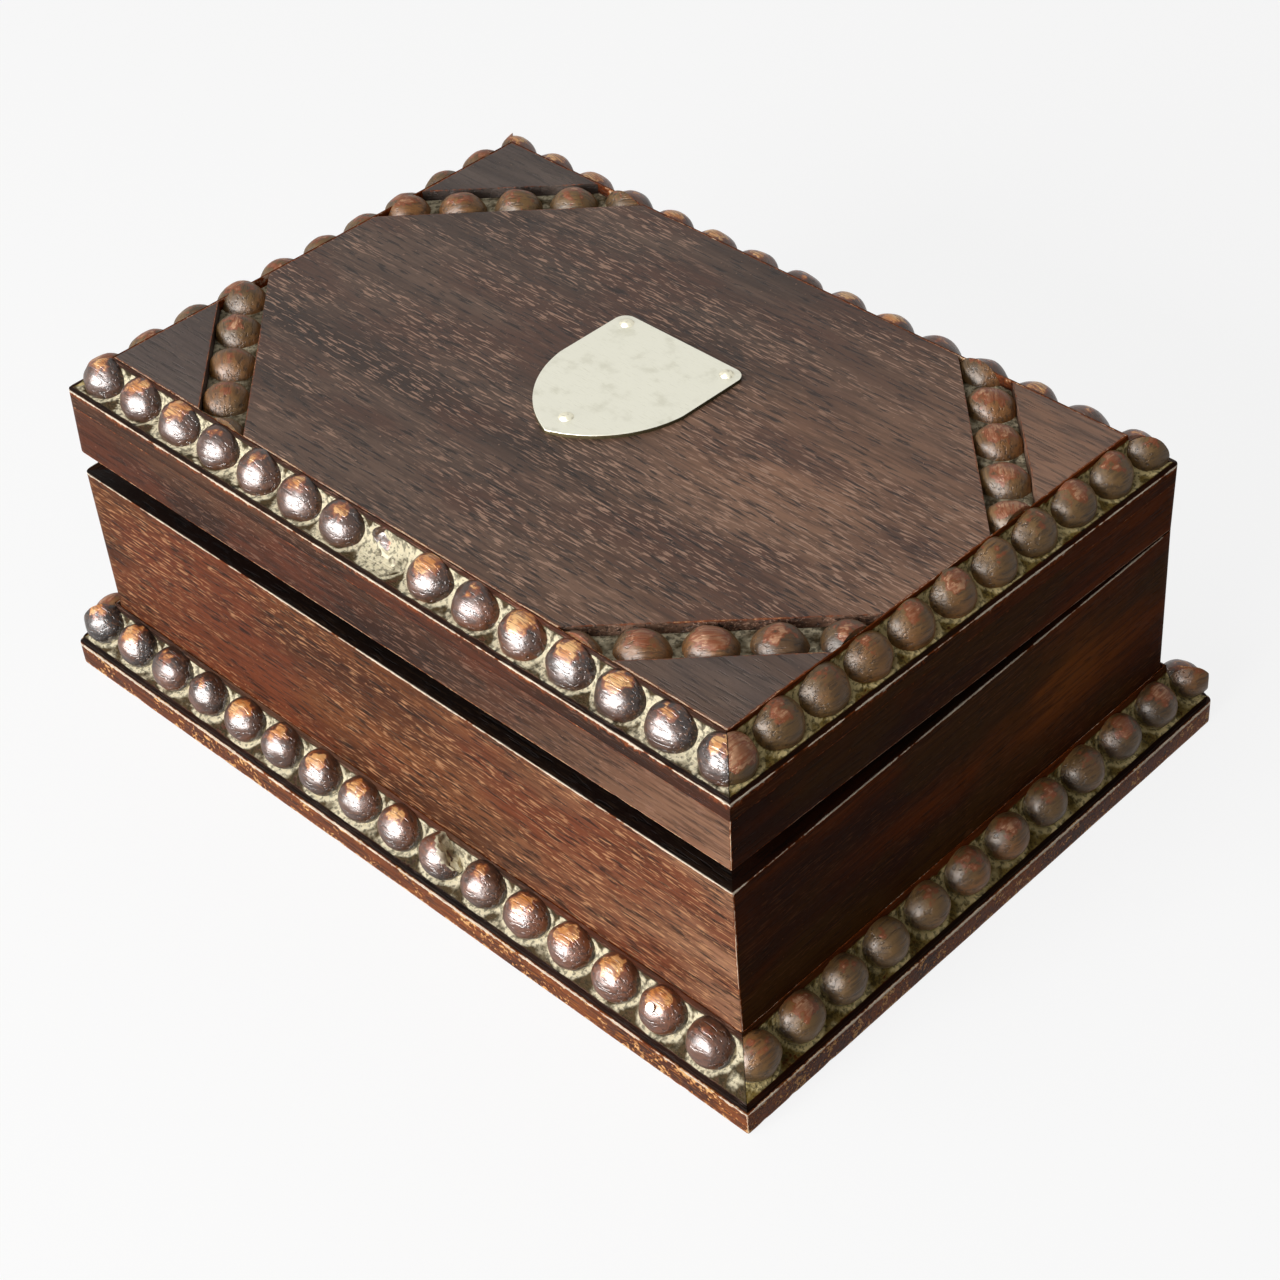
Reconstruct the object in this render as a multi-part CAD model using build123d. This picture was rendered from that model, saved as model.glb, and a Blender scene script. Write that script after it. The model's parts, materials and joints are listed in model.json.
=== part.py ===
"""Carved oak box for papers and keepsakes, with beaded mouldings, a plinth and a hinged lid.

All lengths are in millimetres. The origin is the centre of the plinth's underside, +Z is up,
+X runs along the long side to the right and -Y is the front.
"""

import os
from math import cos, radians, sin

from build123d import *

# Case
CASE_LENGTH = 200.0
CASE_DEPTH = 138.0
CASE_WALL = 11.0
CASE_HEIGHT = 50.8

# Plinth board, which is also the bottom of the box
PLINTH_THICKNESS = 5.7
PLINTH_OVERHANG = 8.5

# Base moulding: a coved strip with a row of beads, mitred round the foot of the case
BASE_FOOT = 7.9
BASE_RISE = 11.2
BASE_LIP = 0.9
BASE_RIM = 1.0
BASE_COVE_SAG = 2.2
BASE_BEAD_RADIUS = 5.4
BASE_BEAD_OUT = 2.5
BASE_BEAD_UP = 5.6
BASE_PITCH_LONG = 13.1
BASE_PITCH_SHORT = 13.05
BASE_START_LONG = 0.0
BASE_START_SHORT = 3.0

# Lid, measured with its lower edge flat
LID_RAIL_HEIGHT = 12.6
LID_TOP_THICKNESS = 11.7
LID_EDGE_HEIGHT = 4.1
LID_MOULDING_WIDTH = 8.6
LID_RIM = 1.5
LID_COVE_SAG = 2.4
LID_BEAD_RADIUS = 5.8
LID_BEAD_IN = 7.2
LID_BEAD_UP = 6.1
LID_PITCH_LONG = 13.25
LID_PITCH_SHORT = 12.7
LID_START = 0.0
MOULDING_LAND = 0.4
MOULDING_RIM_SLOPE = 0.2
# A bead is still cut where its middle lies no further than this past the far mitre
BEAD_PAST_MITRE = 4.2

# Diagonal bead strips, let into grooves across the four corners of the lid
DIAGONAL_WIDTH = 10.5
DIAGONAL_REACH_X = 62.0
GROOVE_DEPTH = 4.2
DIAGONAL_FLOOR = 1.6
DIAGONAL_BEAD_RADIUS = 5.9
DIAGONAL_BEAD_DROP = 4.2
DIAGONAL_PITCH = 13.1
DIAGONAL_SHIFT = -2.0

# Shield plate on the lid and its three pins
SHIELD_WIDTH = 36.6
SHIELD_HEIGHT = 42.5
SHIELD_SIDE = 20.0
SHIELD_BELLY_OUT = 12.3
SHIELD_BELLY_UP = 8.5
SHIELD_CORNER = 3.0
SHIELD_THICKNESS = 0.9
SHIELD_X = 0.4
SHIELD_TOP_Y = 24.6
SHIELD_PIN_INSET = 3.4
SHIELD_PIN_FROM_TOP = 2.8
SHIELD_PIN_TIP_INSET = 6.2
SHIELD_PIN_HEAD_RADIUS = 1.65
SHIELD_PIN_HEAD_HEIGHT = 0.8
SHIELD_PIN_SHANK_RADIUS = 0.6
SHIELD_PIN_LENGTH = 7.0

# Hinges: two small butt hinges let into the back edges
HINGE_LENGTH = 25.0
HINGE_FROM_END = 22.0
LEAF_THICKNESS = 1.0
LEAF_WIDTH = 8.2
KNUCKLE_RADIUS = 1.9
KNUCKLE_COUNT = 5
KNUCKLE_GAP = 0.3
HINGE_PIN_RADIUS = 0.95
HINGE_PIN_CLEARANCE = 0.05
HINGE_OUT = 1.4
LID_GAP = 0.3
LEAF_RELIEF = 0.35
LID_AJAR = 2.4

# Screws
HINGE_SCREW_RADIUS = 0.9
HINGE_SCREW_HEAD_RADIUS = 1.7
HINGE_SCREW_LENGTH = 8.0
HINGE_SCREW_FROM_END = 4.5
HINGE_SCREW_FROM_EDGE = 4.6
BOTTOM_SCREW_RADIUS = 1.5
BOTTOM_SCREW_HEAD_RADIUS = 3.0
BOTTOM_SCREW_LENGTH = 20.0
BOTTOM_SCREW_FROM_END = 24.0
SLOT_WIDTH = 0.5
SLOT_DEPTH = 0.4
CUT_OVERRUN = 0.5

# The one nail whose head shows on the base moulding, near the front right corner
# The beads are counted from the left, so -2 is the last but one
NAIL_BEAD = -2
NAIL_HEAD_RADIUS = 1.0
NAIL_HEAD_THICKNESS = 0.5
NAIL_HEAD_SUNK = 0.2
NAIL_SHANK_RADIUS = 0.5
NAIL_LENGTH = 11.0
NAIL_SLOPE = 45.0

# Places worked out from the sizes above
HALF_LENGTH = CASE_LENGTH / 2
HALF_DEPTH = CASE_DEPTH / 2
FLOOR_Z = PLINTH_THICKNESS
RIM_Z = FLOOR_Z + CASE_HEIGHT
HINGE_Y = HALF_DEPTH + HINGE_OUT
HINGE_Z = RIM_Z + LID_GAP / 2
LID_Z = RIM_Z + LID_GAP
LID_RAIL_TOP = LID_Z + LID_RAIL_HEIGHT
LID_TOP_Z = LID_RAIL_TOP + LID_TOP_THICKNESS
PANEL_HALF_X = HALF_LENGTH - LID_MOULDING_WIDTH
PANEL_HALF_Y = HALF_DEPTH - LID_MOULDING_WIDTH
HINGE_X = HALF_LENGTH - HINGE_FROM_END - HINGE_LENGTH / 2
HINGE_AXIS = Axis((0, HINGE_Y, HINGE_Z), (-1, 0, 0))

# The four sides, each a quarter turn on from the one before it
SIDES = ("front", "right", "back", "left")


def box(low, high):
    """A box between two opposite corners."""
    size = [b - a for a, b in zip(low, high)]
    middle = [(a + b) / 2 for a, b in zip(low, high)]
    return Pos(*middle) * Box(*size)


def rod(start, direction, radius, length):
    """A round rod that starts at a point and runs along a direction."""
    place = Plane(origin=start, z_dir=direction)
    return place * Cylinder(radius, length, align=(Align.CENTER, Align.CENTER, Align.MIN))


def mitred(outer_half, outer_reach, inner_reach, low, high):
    """The room between two mitres of one side: its front edge is at -outer_reach in Y."""
    drop = outer_reach - inner_reach
    inner_half = outer_half - drop
    outline = Polyline(
        (-outer_half, -outer_reach),
        (outer_half, -outer_reach),
        (inner_half, -inner_reach),
        (-inner_half, -inner_reach),
        close=True,
    )
    return Pos(0, 0, low) * extrude(make_face(outline), high - low)


def is_long(side):
    """Whether a side runs along the box."""
    return side in ("front", "back")


def half_and_reach(side):
    """Half of a side's length, and how far its outer face lies from the middle."""
    if is_long(side):
        return HALF_LENGTH, HALF_DEPTH
    return HALF_DEPTH, HALF_LENGTH


def turned(shape, side):
    """A front piece carried round to one of the four sides."""
    return Rot(0, 0, 90 * SIDES.index(side)) * shape


def cove(start, end, sag):
    """The middle point of a hollow arc between two profile points."""
    run_y = end[0] - start[0]
    run_z = end[1] - start[1]
    span = (run_y**2 + run_z**2) ** 0.5
    middle_y = (start[0] + end[0]) / 2 + sag * run_z / span
    middle_z = (start[1] + end[1]) / 2 - sag * run_y / span
    return middle_y, middle_z


def strip_body(profile_start, width, lip, rim, height, sag, length):
    """A coved strip along X. Its profile runs inwards in +Y from its outer face at Y = 0."""
    rim_end = (rim, lip + rim * MOULDING_RIM_SLOPE)
    land_start = (width - MOULDING_LAND, height)
    with BuildSketch(Plane.YZ) as profile:
        with BuildLine():
            Polyline((0, 0), (0, lip), rim_end)
            ThreePointArc(rim_end, cove(rim_end, land_start, sag), land_start)
            Polyline(land_start, (width, height), (width, 0), (0, 0))
        make_face()
    body = extrude(profile.sketch, length / 2, both=True)
    return Pos(*profile_start) * body


def bead_places(half, pitch, start):
    """Where beads lie along X, from one mitre towards the other."""
    count = int((2 * half - start + BEAD_PAST_MITRE) / pitch) + 1
    return [half - start - pitch * number for number in range(count)]


def bead_row(half, pitch, start, y, z, radius):
    """A row of beads along X."""
    return [Pos(x, y, z) * Sphere(radius) for x in bead_places(half, pitch, start)]


def base_moulding(side):
    """One side of the beaded moulding round the foot of the case."""
    half, reach = half_and_reach(side)
    outer = reach + BASE_FOOT
    room = mitred(half + BASE_FOOT, outer, reach, FLOOR_Z, FLOOR_Z + BASE_RISE * 2)
    strip = strip_body(
        (0, -outer, FLOOR_Z),
        BASE_FOOT,
        BASE_LIP,
        BASE_RIM,
        BASE_RISE,
        BASE_COVE_SAG,
        2 * (half + BASE_FOOT),
    )
    pitch = BASE_PITCH_LONG if is_long(side) else BASE_PITCH_SHORT
    start = BASE_START_LONG if is_long(side) else BASE_START_SHORT
    bead_y = -reach - BASE_BEAD_OUT
    bead_z = FLOOR_Z + BASE_BEAD_UP
    beads = bead_row(half + BASE_BEAD_OUT, pitch, start, bead_y, bead_z, BASE_BEAD_RADIUS)
    moulding = (strip + beads) & room
    # The long strips' first bead sits on the left mitre, the short ones' beside the front mitre
    if side != "left":
        moulding = mirror(moulding, about=Plane.YZ)
    return turned(moulding, side)


def lid_moulding(side):
    """One side of the beaded moulding round the lid's top."""
    half, reach = half_and_reach(side)
    inner = reach - LID_MOULDING_WIDTH
    height = LID_TOP_THICKNESS
    room = mitred(half, reach, inner, LID_RAIL_TOP, LID_RAIL_TOP + height * 2)
    strip = strip_body(
        (0, -reach, LID_RAIL_TOP),
        LID_MOULDING_WIDTH,
        LID_EDGE_HEIGHT,
        LID_RIM,
        height,
        LID_COVE_SAG,
        2 * half,
    )
    pitch = LID_PITCH_LONG if is_long(side) else LID_PITCH_SHORT
    bead_y = -reach + LID_BEAD_IN
    bead_z = LID_RAIL_TOP + LID_BEAD_UP
    beads = bead_row(half - LID_BEAD_IN, pitch, LID_START, bead_y, bead_z, LID_BEAD_RADIUS)
    moulding = (strip + beads) & room
    # The short strips' first bead sits on the front mitre
    if side == "right":
        moulding = mirror(moulding, about=Plane.YZ)
    return turned(moulding, side)


def case_board(side):
    """One wall of the case, mitred at both ends."""
    half, reach = half_and_reach(side)
    board = mitred(half, reach, reach - CASE_WALL, FLOOR_Z, RIM_Z)
    return turned(board, side)


def lid_rail(side):
    """One side of the lid's frame, mitred at both ends."""
    half, reach = half_and_reach(side)
    rail = mitred(half, reach, reach - CASE_WALL, LID_Z, LID_RAIL_TOP)
    return turned(rail, side)


def diagonal_room(sign_x, sign_y, low, high):
    """The straight band that a diagonal strip fills, cut off at the panel's edges."""
    # The band's outer edge meets the panel's long edge at DIAGONAL_REACH_X
    outer = DIAGONAL_REACH_X + PANEL_HALF_Y
    inner = outer - DIAGONAL_WIDTH * 2**0.5
    outline = Polyline(
        (inner - PANEL_HALF_Y, PANEL_HALF_Y),
        (outer - PANEL_HALF_Y, PANEL_HALF_Y),
        (PANEL_HALF_X, outer - PANEL_HALF_X),
        (PANEL_HALF_X, inner - PANEL_HALF_X),
        close=True,
    )
    band = Pos(0, 0, low) * extrude(make_face(outline), high - low)
    if sign_x < 0:
        band = mirror(band, about=Plane.YZ)
    if sign_y < 0:
        band = mirror(band, about=Plane.XZ)
    return band


def diagonal_strip(sign_x, sign_y):
    """A row of beads on a thin bed, let into its groove."""
    bed_z = LID_TOP_Z - GROOVE_DEPTH
    bed = diagonal_room(sign_x, sign_y, bed_z, bed_z + DIAGONAL_FLOOR)
    room = diagonal_room(sign_x, sign_y, bed_z, LID_TOP_Z + DIAGONAL_BEAD_RADIUS)
    outer = DIAGONAL_REACH_X + PANEL_HALF_Y
    middle = outer - DIAGONAL_WIDTH / 2**0.5
    near = (middle - PANEL_HALF_Y, PANEL_HALF_Y)
    far = (PANEL_HALF_X, middle - PANEL_HALF_X)
    centre_x = (near[0] + far[0]) / 2
    centre_y = (near[1] + far[1]) / 2
    run = ((far[0] - near[0]) ** 2 + (far[1] - near[1]) ** 2) ** 0.5
    reach = int((run / 2 + DIAGONAL_BEAD_RADIUS) / DIAGONAL_PITCH) + 1
    bead_z = LID_TOP_Z - DIAGONAL_BEAD_DROP
    beads = []
    for number in range(-reach, reach + 1):
        along = (number * DIAGONAL_PITCH + DIAGONAL_SHIFT) / 2**0.5
        x = sign_x * (centre_x + along)
        y = sign_y * (centre_y - along)
        beads.append(Pos(x, y, bead_z) * Sphere(DIAGONAL_BEAD_RADIUS))
    return (bed + beads) & room


def shield_face():
    """The shield's outline in the lid's plane, point towards the front."""
    half = SHIELD_WIDTH / 2
    top = SHIELD_TOP_Y
    shoulder = top - SHIELD_SIDE
    tip = top - SHIELD_HEIGHT
    belly = (SHIELD_BELLY_OUT, tip + SHIELD_BELLY_UP)
    with BuildSketch() as sketch:
        with Locations((SHIELD_X, 0)):
            with BuildLine():
                Polyline((-half, shoulder), (-half, top), (half, top), (half, shoulder))
                ThreePointArc((half, shoulder), belly, (0, tip))
                ThreePointArc((0, tip), (-belly[0], belly[1]), (-half, shoulder))
            make_face()
    return sketch.sketch


def shield_pin_places():
    """The three pins: one in each upper corner and one above the point."""
    side = SHIELD_WIDTH / 2 - SHIELD_PIN_INSET
    upper = SHIELD_TOP_Y - SHIELD_PIN_FROM_TOP
    lower = SHIELD_TOP_Y - SHIELD_HEIGHT + SHIELD_PIN_TIP_INSET
    return [
        (SHIELD_X - side, upper),
        (SHIELD_X + side, upper),
        (SHIELD_X, lower),
    ]


def shield_plate():
    """The thin metal shield, with a hole for each pin."""
    plate = Pos(SHIELD_X, 0, LID_TOP_Z) * extrude(shield_face(), SHIELD_THICKNESS)
    corners = plate.edges().filter_by(Axis.Z).sort_by(Axis.Y)[-2:]
    plate = fillet(corners, SHIELD_CORNER)
    for x, y in shield_pin_places():
        plate -= rod((x, y, LID_TOP_Z), (0, 0, 1), SHIELD_PIN_SHANK_RADIUS, SHIELD_THICKNESS)
    return plate


def shield_pin(x, y):
    """A domed pin through the shield into the lid board."""
    seat = LID_TOP_Z + SHIELD_THICKNESS
    height = SHIELD_PIN_HEAD_HEIGHT
    radius = (SHIELD_PIN_HEAD_RADIUS**2 + height**2) / (2 * height)
    ball = Pos(x, y, seat + height - radius) * Sphere(radius)
    head = ball & rod((x, y, seat), (0, 0, 1), SHIELD_PIN_HEAD_RADIUS, height * 2)
    shank = rod((x, y, seat), (0, 0, -1), SHIELD_PIN_SHANK_RADIUS, SHIELD_PIN_LENGTH)
    return head + shank


def countersunk(point, direction, head_radius, radius, length):
    """A countersunk screw whose flat head lies at a point and whose shank runs on from it."""
    drop = head_radius - radius
    place = Plane(origin=point, z_dir=direction)
    head = place * Cone(head_radius, radius, drop, align=(Align.CENTER, Align.CENTER, Align.MIN))
    return head + rod(point, direction, radius, length)


def slotted(screw, point, direction, head_radius):
    """A screw with a slot across its head."""
    place = Plane(origin=point, z_dir=direction)
    slot = place * Box(SLOT_WIDTH, 2 * (head_radius + CUT_OVERRUN), 2 * SLOT_DEPTH)
    return screw - slot


def bottom_screw_places():
    """Screws up through the plinth into the walls: three on each long side."""
    y = HALF_DEPTH - CASE_WALL / 2
    x = HALF_LENGTH - BOTTOM_SCREW_FROM_END
    return [(px, py) for py in (-y, y) for px in (-x, 0, x)]


def bottom_screw(x, y):
    """The plain body of one bottom screw, which also cuts its own hole."""
    return countersunk(
        (x, y, 0),
        (0, 0, 1),
        BOTTOM_SCREW_HEAD_RADIUS,
        BOTTOM_SCREW_RADIUS,
        BOTTOM_SCREW_LENGTH,
    )


def hinge_screw_places(sign):
    """Two screws in each leaf."""
    middle = sign * HINGE_X
    y = HALF_DEPTH - HINGE_SCREW_FROM_EDGE
    spread = HINGE_LENGTH / 2 - HINGE_SCREW_FROM_END
    return [(middle + side * spread, y) for side in (-1, 1)]


def hinge_screw(x, y, up):
    """The plain body of one hinge screw: up into the lid's rail or down into the case's wall."""
    z = LID_Z if up else RIM_Z
    direction = (0, 0, 1) if up else (0, 0, -1)
    return countersunk(
        (x, y, z), direction, HINGE_SCREW_HEAD_RADIUS, HINGE_SCREW_RADIUS, HINGE_SCREW_LENGTH
    )


def hinge_screws_in(lid):
    """The four slotted screws of the lid's leaves, or of the case's."""
    z = LID_Z if lid else RIM_Z
    direction = (0, 0, 1) if lid else (0, 0, -1)
    screws = []
    for sign in (-1, 1):
        for x, y in hinge_screw_places(sign):
            screw = hinge_screw(x, y, lid)
            cut = slotted(screw, (x, y, z), direction, HINGE_SCREW_HEAD_RADIUS)
            screws.append(cut.solid())
    return Compound(screws)


def knuckle_spans(sign, lid):
    """The stretches of X that one leaf's knuckles fill. The lid's leaf has the even ones."""
    pitch = HINGE_LENGTH / KNUCKLE_COUNT
    left = sign * HINGE_X - HINGE_LENGTH / 2
    spans = []
    for number in range(KNUCKLE_COUNT):
        if (number % 2 == 1) == lid:
            low = left + number * pitch
            spans.append((low + KNUCKLE_GAP / 2, low + pitch - KNUCKLE_GAP / 2))
    return spans


def leaf_pocket(sign, lid):
    """The room that a leaf and the barrel take out of the wood."""
    low_x = sign * HINGE_X - HINGE_LENGTH / 2
    high_x = low_x + HINGE_LENGTH
    low_z = LID_Z if lid else RIM_Z - LEAF_THICKNESS
    pocket = box(
        (low_x, HALF_DEPTH - LEAF_WIDTH, low_z), (high_x, HALF_DEPTH, low_z + LEAF_THICKNESS)
    )
    barrel = rod(
        (low_x - LEAF_RELIEF, HINGE_Y, HINGE_Z),
        (1, 0, 0),
        KNUCKLE_RADIUS + LEAF_RELIEF,
        HINGE_LENGTH + 2 * LEAF_RELIEF,
    )
    return pocket + barrel


def hinge_leaf(sign, lid):
    """A leaf with its knuckles, rolled round the hinge pin."""
    low_x = sign * HINGE_X - HINGE_LENGTH / 2
    high_x = low_x + HINGE_LENGTH
    low_z = LID_Z if lid else RIM_Z - LEAF_THICKNESS
    # The plate stops short of the other leaf's knuckles and reaches in to its own
    edge = HINGE_Y - KNUCKLE_RADIUS - LEAF_RELIEF
    leaf = box((low_x, HALF_DEPTH - LEAF_WIDTH, low_z), (high_x, edge, low_z + LEAF_THICKNESS))
    for start, end in knuckle_spans(sign, lid):
        leaf += box((start, edge, low_z), (end, HINGE_Y, low_z + LEAF_THICKNESS))
        leaf += rod((start, HINGE_Y, HINGE_Z), (1, 0, 0), KNUCKLE_RADIUS, end - start)
    bore = HINGE_PIN_RADIUS + (HINGE_PIN_CLEARANCE if lid else 0)
    bore_start = (low_x - CUT_OVERRUN, HINGE_Y, HINGE_Z)
    leaf -= rod(bore_start, (1, 0, 0), bore, HINGE_LENGTH + 2 * CUT_OVERRUN)
    for x, y in hinge_screw_places(sign):
        leaf -= hinge_screw(x, y, lid)
    return leaf


def hinge_pin(sign):
    """The pin through all five knuckles."""
    start = sign * HINGE_X - HINGE_LENGTH / 2
    return rod((start, HINGE_Y, HINGE_Z), (1, 0, 0), HINGE_PIN_RADIUS, HINGE_LENGTH)


def nail():
    """The nail driven through a bead of the front base moulding into the wood behind it."""
    row = bead_places(HALF_LENGTH + BASE_BEAD_OUT, BASE_PITCH_LONG, BASE_START_LONG)
    # The front row runs from the left mitre
    x = -row[NAIL_BEAD]
    out_y = -cos(radians(NAIL_SLOPE))
    out_z = sin(radians(NAIL_SLOPE))
    centre_y = -HALF_DEPTH - BASE_BEAD_OUT
    centre_z = FLOOR_Z + BASE_BEAD_UP
    reach = BASE_BEAD_RADIUS - NAIL_HEAD_SUNK
    seat = (x, centre_y + out_y * reach, centre_z + out_z * reach)
    head = rod(seat, (0, out_y, out_z), NAIL_HEAD_RADIUS, NAIL_HEAD_THICKNESS)
    shank = rod(seat, (0, -out_y, -out_z), NAIL_SHANK_RADIUS, NAIL_LENGTH)
    return head + shank


def ajar(shape):
    """A lid piece turned from flat to the small angle that the lid stands open at."""
    return shape.rotate(HINGE_AXIS, LID_AJAR)


def case_pieces():
    """Everything that stands still."""
    nail_body = nail()
    screws = [bottom_screw(x, y) for x, y in bottom_screw_places()]
    plinth = box(
        (-HALF_LENGTH - PLINTH_OVERHANG, -HALF_DEPTH - PLINTH_OVERHANG, 0),
        (HALF_LENGTH + PLINTH_OVERHANG, HALF_DEPTH + PLINTH_OVERHANG, FLOOR_Z),
    )
    pieces = {"plinth_board": plinth - screws - nail_body}
    hinge_screws = []
    pockets = []
    for sign, name in ((-1, "left"), (1, "right")):
        pockets.append(leaf_pocket(sign, False))
        hinge_screws += [hinge_screw(x, y, False) for x, y in hinge_screw_places(sign)]
        pieces["hinge_" + name + "_case_leaf"] = hinge_leaf(sign, False)
        pieces["hinge_" + name + "_pin"] = hinge_pin(sign)
    for side in SIDES:
        board = case_board(side)
        if is_long(side):
            board -= screws
        if side == "back":
            board = board - pockets - hinge_screws
        if side == "front":
            board -= nail_body
        pieces["case_" + side] = board
        moulding = base_moulding(side)
        if side == "front":
            moulding -= nail_body
        pieces["base_moulding_" + side] = moulding
    pieces["moulding_nail"] = nail_body
    cut = [
        slotted(screw, (x, y, 0), (0, 0, 1), BOTTOM_SCREW_HEAD_RADIUS)
        for screw, (x, y) in zip(screws, bottom_screw_places())
    ]
    pieces["bottom_screws"] = Compound([screw.solid() for screw in cut])
    pieces["hinge_screws_case"] = hinge_screws_in(False)
    return pieces


def lid_pieces():
    """Everything that swings with the lid, still flat."""
    pieces = {}
    pins = [shield_pin(x, y) for x, y in shield_pin_places()]
    top = box(
        (-PANEL_HALF_X, -PANEL_HALF_Y, LID_RAIL_TOP), (PANEL_HALF_X, PANEL_HALF_Y, LID_TOP_Z)
    )
    for pin in pins:
        top -= pin
    for sign_x, name_x in ((-1, "left"), (1, "right")):
        for sign_y, name_y in ((-1, "front"), (1, "back")):
            top -= diagonal_room(sign_x, sign_y, LID_TOP_Z - GROOVE_DEPTH, LID_TOP_Z)
            name = "diagonal_strip_" + name_y + "_" + name_x
            pieces[name] = diagonal_strip(sign_x, sign_y)
    pieces["lid_top_board"] = top
    hinge_screws = []
    pockets = []
    for sign, name in ((-1, "left"), (1, "right")):
        pockets.append(leaf_pocket(sign, True))
        hinge_screws += [hinge_screw(x, y, True) for x, y in hinge_screw_places(sign)]
        pieces["hinge_" + name + "_lid_leaf"] = hinge_leaf(sign, True)
    for side in SIDES:
        rail = lid_rail(side)
        if side == "back":
            rail = rail - pockets - hinge_screws
        pieces["lid_rail_" + side] = rail
        pieces["lid_moulding_" + side] = lid_moulding(side)
    pieces["shield_plate"] = shield_plate()
    pieces["shield_pins"] = Compound([pin.solid() for pin in pins])
    pieces["hinge_screws_lid"] = hinge_screws_in(True)
    return pieces


def main():
    """Write every piece to its own file."""
    os.makedirs("parts", exist_ok=True)
    pieces = case_pieces()
    for name, shape in lid_pieces().items():
        pieces[name] = ajar(shape)
    for name, shape in pieces.items():
        export_step(shape, "parts/" + name + ".step")
        print(name, round(shape.volume))


main()
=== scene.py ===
"""Carved oak box: the finish of every board, bead and fitting, the studio and the camera.

The file is laid out as an add-on and run as a script. The frame gives the pieces' places in metres.
Shapes are worked out in millimetres and turned to metres when a mesh is made.
"""

import json
import math

import bmesh
import bpy
import numpy as np
from bpy.props import FloatProperty, FloatVectorProperty, IntProperty, PointerProperty
from mathutils import Matrix, Vector, noise


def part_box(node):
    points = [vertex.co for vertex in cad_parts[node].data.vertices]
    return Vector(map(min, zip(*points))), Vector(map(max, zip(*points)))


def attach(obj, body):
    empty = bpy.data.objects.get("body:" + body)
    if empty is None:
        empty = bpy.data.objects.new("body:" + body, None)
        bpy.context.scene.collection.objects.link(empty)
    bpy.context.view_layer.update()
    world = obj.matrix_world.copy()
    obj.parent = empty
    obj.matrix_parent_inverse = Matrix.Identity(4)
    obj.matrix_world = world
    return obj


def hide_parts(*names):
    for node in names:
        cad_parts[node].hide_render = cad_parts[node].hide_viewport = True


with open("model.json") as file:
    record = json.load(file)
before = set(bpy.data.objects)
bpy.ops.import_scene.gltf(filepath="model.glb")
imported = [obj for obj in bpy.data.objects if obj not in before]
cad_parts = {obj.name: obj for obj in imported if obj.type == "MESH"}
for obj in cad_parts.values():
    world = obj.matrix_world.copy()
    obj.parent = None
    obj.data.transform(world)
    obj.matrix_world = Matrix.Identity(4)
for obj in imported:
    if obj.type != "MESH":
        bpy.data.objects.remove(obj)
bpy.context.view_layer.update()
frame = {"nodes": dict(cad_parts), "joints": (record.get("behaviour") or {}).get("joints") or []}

bl_info = {
    "name": "Carved Oak Box",
    "version": (1, 0, 0),
    "blender": (4, 5, 0),
    "location": "View3D > Sidebar > Carved Box",
    "description": "Builds the finished look of a carved oak box round its fixed frame",
    "category": "Object",
}

MM = 0.001
SIDES = ("front", "right", "back", "left")
LONG_SIDES = ("front", "back")
HINGE = [value / MM for value in frame["joints"][0]["pos_m"]]
LID_AJAR = math.radians(2.4)


def tilted(points, angle=LID_AJAR):
    """Lid points, worked out flat, turned about the hinge to where the lid stands open."""
    turned = np.array(points, float).reshape(-1, 3)
    y = turned[:, 1] - HINGE[1]
    z = turned[:, 2] - HINGE[2]
    turned[:, 1] = HINGE[1] + y * math.cos(angle) + z * math.sin(angle)
    turned[:, 2] = HINGE[2] - y * math.sin(angle) + z * math.cos(angle)
    return turned


def frame_box(name):
    """A node's lowest and highest corner in millimetres."""
    low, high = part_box(name)
    return np.array(low) / MM, np.array(high) / MM


def flat_lid_box(name):
    """A lid node's corners with the lid turned flat."""
    points = np.array([vertex.co for vertex in frame["nodes"][name].data.vertices]) / MM
    points = tilted(points, -LID_AJAR)
    return points.min(0), points.max(0)


# Sizes read from the frame
(_, _, FLOOR), (HALF_LENGTH, WALL_INSIDE, RIM) = frame_box("case_front")
HALF_DEPTH = frame_box("case_right")[1][1]
WALL = WALL_INSIDE + HALF_DEPTH
PLINTH_X, PLINTH_Y, _ = frame_box("plinth_board")[1]
FOOT = frame_box("base_moulding_front")[1][0] - HALF_LENGTH
(_, _, LID_LOW), (_, _, RAIL_TOP) = flat_lid_box("lid_rail_front")
PANEL_X, PANEL_Y, LID_TOP = flat_lid_box("lid_top_board")[1]
MOULDING = HALF_DEPTH - PANEL_Y


def linear(code):
    """A six-figure sRGB hex colour as linear RGBA."""
    channels = [int(code[place : place + 2], 16) / 255 for place in (0, 2, 4)]
    return [c / 12.92 if c <= 0.04045 else ((c + 0.055) / 1.055) ** 2.4 for c in channels] + [1.0]


def length(name, description, millimetres):
    """A length that a user may change."""
    return FloatProperty(name=name, description=description, default=millimetres * MM, unit="LENGTH")


def colour(name, description, code):
    """A colour that a user may change, from its sRGB hex code."""
    return FloatVectorProperty(
        name=name, description=description, subtype="COLOR", default=linear(code)[:3]
    )


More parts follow.
